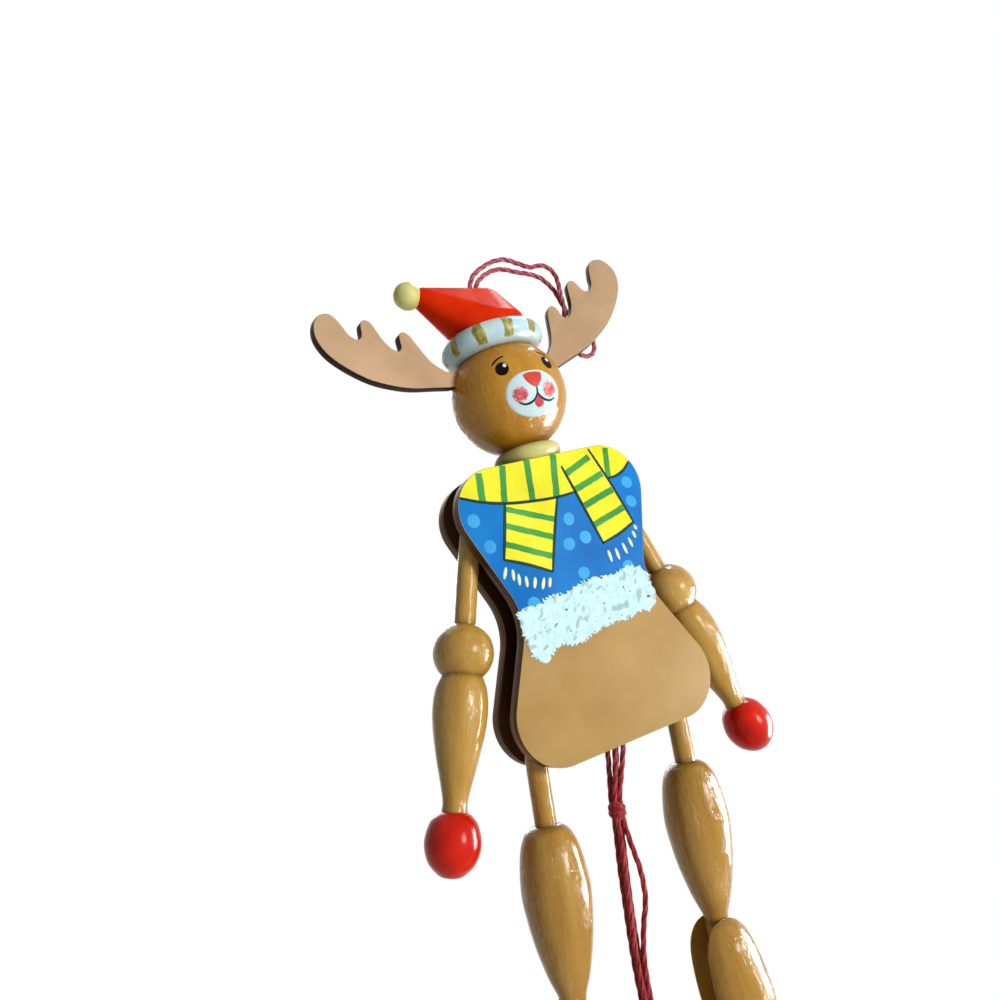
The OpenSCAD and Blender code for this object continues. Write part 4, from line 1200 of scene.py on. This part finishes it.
def inside_hem(p):
    crossings = 0
    for a, b in zip(hem, np.roll(hem, -1, axis=0)):
        if (a[1] > p[1]) != (b[1] > p[1]):
            crossings += p[0] < a[0] + (p[1] - a[1]) * (b[0] - a[0]) / (b[1] - a[1])
    return crossings % 2 == 1


outward = np.roll(hem, -1, axis=0) - np.roll(hem, 1, axis=0)
for p, run in zip(hem, outward):
    lean = math.degrees(math.atan2(run[1], -run[0])) + random.uniform(-60, 60)
    shift = np.array((random.uniform(-0.4, 0.4), random.uniform(-0.4, 0.4)))
    fur_marks.append((*(p + shift), lean, random.uniform(0.4, 0.8), random.uniform(0.9, 1.8)))


def scatter(marks, count, *spans):
    """Adds marks inside the hem. The spans are of x, z, turn, width and length."""
    while len(marks) < count:
        p = tuple(random.uniform(*span) for span in spans[:2])
        if inside_hem(p):
            marks.append((*p, *(random.uniform(*span) for span in spans[2:])))
    return marks


scatter(fur_marks, 480, (-23, 22.5), (-115.5, -97), (0, 180), (0.9, 1.8), (1.6, 3.0))
dabs("fur_tufts", fur_marks, 0.18, fur_finish, 0.55)
shade_marks = scatter([], 24, (-22, 21.5), (-114.5, -98.5), (20, 75), (0.6, 1.1), (1.4, 3.0))
dabs("fur_shades", shade_marks, 0.24, fur_grey, 0.3)

# %% [markdown]
# ## Knots, the pull bead and the link strings
# The strands are tied together under the body and end in a turned bead over a second
# knot. A knot is too small to show its path, so it is a ball of cord whose surface is
# wound by a sine wave. The link strings inside the body join the inner ends of the
# limbs. Each side of a string is two stretches, an outer one at its limb and an inner
# one towards the cord.

# %% Knots and bead
def knot(name, middle, radius, height, node):
    points, faces = lathe(ball_outline(radius, 0, 90, -90, 40), 60)
    around = np.arctan2(points[:, 1], points[:, 0])
    wound = np.cos(3 * around + points[:, 2] / height * 9) * (1 - (points[:, 2] / radius) ** 2)
    points = points * (1 - 0.07 + 0.07 * wound[:, None])
    points[:, 2] *= height / radius
    piece = new_piece(name, points + middle, faces, cord_red, "pull_cord", [node])
    # The grooves of the winding take the cord's painted shade.
    tell(piece, "groove", np.clip(0.5 - 0.5 * wound, 0, 1))
    tell(piece, "lay", points / radius, "FLOAT_VECTOR")
    return piece


bead_r, end_knot_drop = 6.0, 8.35
knot_mid = np.array((-7.5, 0, string_low - 38))
bead_mid = np.array((-17.1, 0, string_low - 115))
upper_knot = knot("tied_knot", knot_mid, 2.7, 3.0, "pull_knot")
lower_knot = knot("end_knot_tied", bead_mid - (0, 0, end_knot_drop), 2.3, 2.3, "end_knot")
pull_bead = turned_piece("pull_bead_turned", ball_outline(bead_r, 0, 90, -90, 50), varnished,
                         "pull_cord", ["pull_bead"],
                         Matrix.Translation(bead_mid), seed=61.0)
print("knot at", round(knot_mid[2], 1), "mm and pull bead at", round(bead_mid[2], 1), "mm")

# %% Link strings
string_d, string_reach, string_sag, beside = 1.2, 5.6, 2.4, 3.3
for title, x, z, lean_at, limb in (("arm", arm_x, arm_z, 1, "arm_"),
                                   ("leg", leg_x, leg_z, 2, "thigh_")):
    low = np.array((0, 0, z + string_reach - string_sag))
    for word, facts in leans.items():
        side, lean = facts[0], math.radians(facts[lean_at])
        end = np.array((side * (x - string_reach * math.sin(lean) - beside), 0,
                        z + string_reach * math.cos(lean)))
        half = (end + low) / 2
        for part, a, b in (("outer", half, end), ("inner", low, half)):
            name = "%s_string_%s_%s" % (title, word, part)
            piece, line, length = twisted_cord(name, [a, a * 0.5 + b * 0.5, b], string_d, 150.0)
            if part == "outer":
                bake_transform(piece)
            else:
                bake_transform(piece)
            if part == "outer" and word == "left":
                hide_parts(title + "_string")

# %% [markdown]
# ## Pieces that stay as the CAD made them
# Pins, spacers, the neck block and the dowel show only in the gap between the boards.
# Their shapes are right, so they keep their meshes and only get a finish.

# %% Finishes for the CAD's own pieces
steel, tree, shader = new_finish("pin_steel", Metallic=1.0, Roughness=0.34)
place = object_place(tree)
turned = noise(tree, place, 1, (900, 60, 900))
join(shader, "Base Color", ramp(tree, turned, [(0.3, "8D8D90"), (0.7, "C3C3C6")]))
relief(tree, shader, turned, 0.00002)
kept = {"shoulder_pins": steel, "hip_pins": steel, "left_knee_pin": steel,
        "right_knee_pin": steel, "neck_block": board_dark, "waist_spacers": inner_wood,
        "neck_dowel": inner_wood}
for node, finish in kept.items():
    nodes[node].data.materials.clear()
    nodes[node].data.materials.append(finish)
print("CAD pieces kept:", sorted(kept))

# %% [markdown]
# ## Floor and light
# The picture has no background, so the world is white to the camera and to reflections,
# and a soft grey to everything else. One lamp to the right of the camera gives the plain
# light. Two small lamps, to the right and above, reach only the gloss and make its
# glints, and one behind keeps the rims readable. The floor is pale, and fades to white
# away from the toy so that only its shadow shows.

# %% World
def shown(tree):
    """1 for the rays that see the background: the camera's, and those off gloss or glass."""
    ray = add(tree, "ShaderNodeLightPath").outputs
    seen = math_node(tree, "MAXIMUM", ray["Is Camera Ray"], ray["Is Glossy Ray"])
    return math_node(tree, "MAXIMUM", seen, ray["Is Transmission Ray"])


world = bpy.data.worlds.new("studio")
bpy.context.scene.world = world
world.use_nodes = True
tree = world.node_tree
tree.nodes.clear()
soft = add(tree, "ShaderNodeBackground", {"Color": (0.14, 0.143, 0.15, 1), "Strength": 1.0})
white = add(tree, "ShaderNodeBackground", {"Color": (1, 1, 1, 1), "Strength": 1.0})
both = add(tree, "ShaderNodeMixShader", {0: shown(tree), 1: soft.outputs[0],
                                         2: white.outputs[0]})
add(tree, "ShaderNodeOutputWorld", {0: both.outputs[0]})
print("world:", world.name)


# %% Lamps
def lamp(name, place, aim, width, height, power, plain=True):
    data = bpy.data.lights.new(name, "AREA")
    data.shape = "RECTANGLE"
    data.size = width
    data.size_y = height
    data.energy = power
    made = bpy.data.objects.new(name, data)
    made.location = place
    made.rotation_mode = "QUATERNION"
    made.visible_camera = False
    made.visible_diffuse = plain
    made.rotation_quaternion = (Vector(aim) - Vector(place)).to_track_quat("-Z", "Y")
    link(made)


middle = (0, 0, -0.14)
lamp("front", (0.62, -1.24, -0.03), middle, 0.4, 0.4, 16.2)
lamp("window", (0.3, -0.04, -0.25), (0, 0, -0.16), 0.12, 0.2, 5.0, plain=False)
lamp("top", (0.5, 0.2, 0.6), (0, 0, -0.03), 0.2, 0.2, 3.0, plain=False)
lamp("back", (0.3, 0.85, 0.3), middle, 0.7, 0.7, 6.5)

# %% Floor
floor_z, floor_reach = -360, 6000
floor = link(bare("floor", [(x * floor_reach, y * floor_reach, floor_z)
                            for x, y in ((-1, -1), (1, -1), (1, 1), (-1, 1))],
                  faces=[(0, 1, 2, 3)]))
floor_finish, tree, shader = new_finish("pale_floor", Roughness=0.8, Specular_IOR_Level=0.1)
shader.inputs["Base Color"].default_value = (0.9, 0.9, 0.9, 1)
place = object_place(tree)
flat = add(tree, "ShaderNodeVectorMath", {0: place, 1: (1, 1, 0)}, operation="MULTIPLY")
far = add(tree, "ShaderNodeVectorMath", {0: flat.outputs[0]}, operation="LENGTH").outputs["Value"]
fade_from, fade_to, floor_glow = 0.10, 0.24, 0.7
fade = add(tree, "ShaderNodeMapRange", {0: far, 1: fade_from, 2: fade_to},
           interpolation_type="SMOOTHSTEP")
fade = math_node(tree, "MULTIPLY_ADD", fade.outputs[0], 1 - floor_glow, floor_glow)
share = math_node(tree, "MULTIPLY", shown(tree), fade)
glow = add(tree, "ShaderNodeEmission", {"Color": (1, 1, 1, 1), "Strength": 1.0})
both = add(tree, "ShaderNodeMixShader", {0: share, 1: shader.outputs[0], 2: glow.outputs[0]})
join(tree.nodes["Material Output"], "Surface", both.outputs[0])
floor.data.materials.append(floor_finish)
print("floor at", floor_z, "mm")
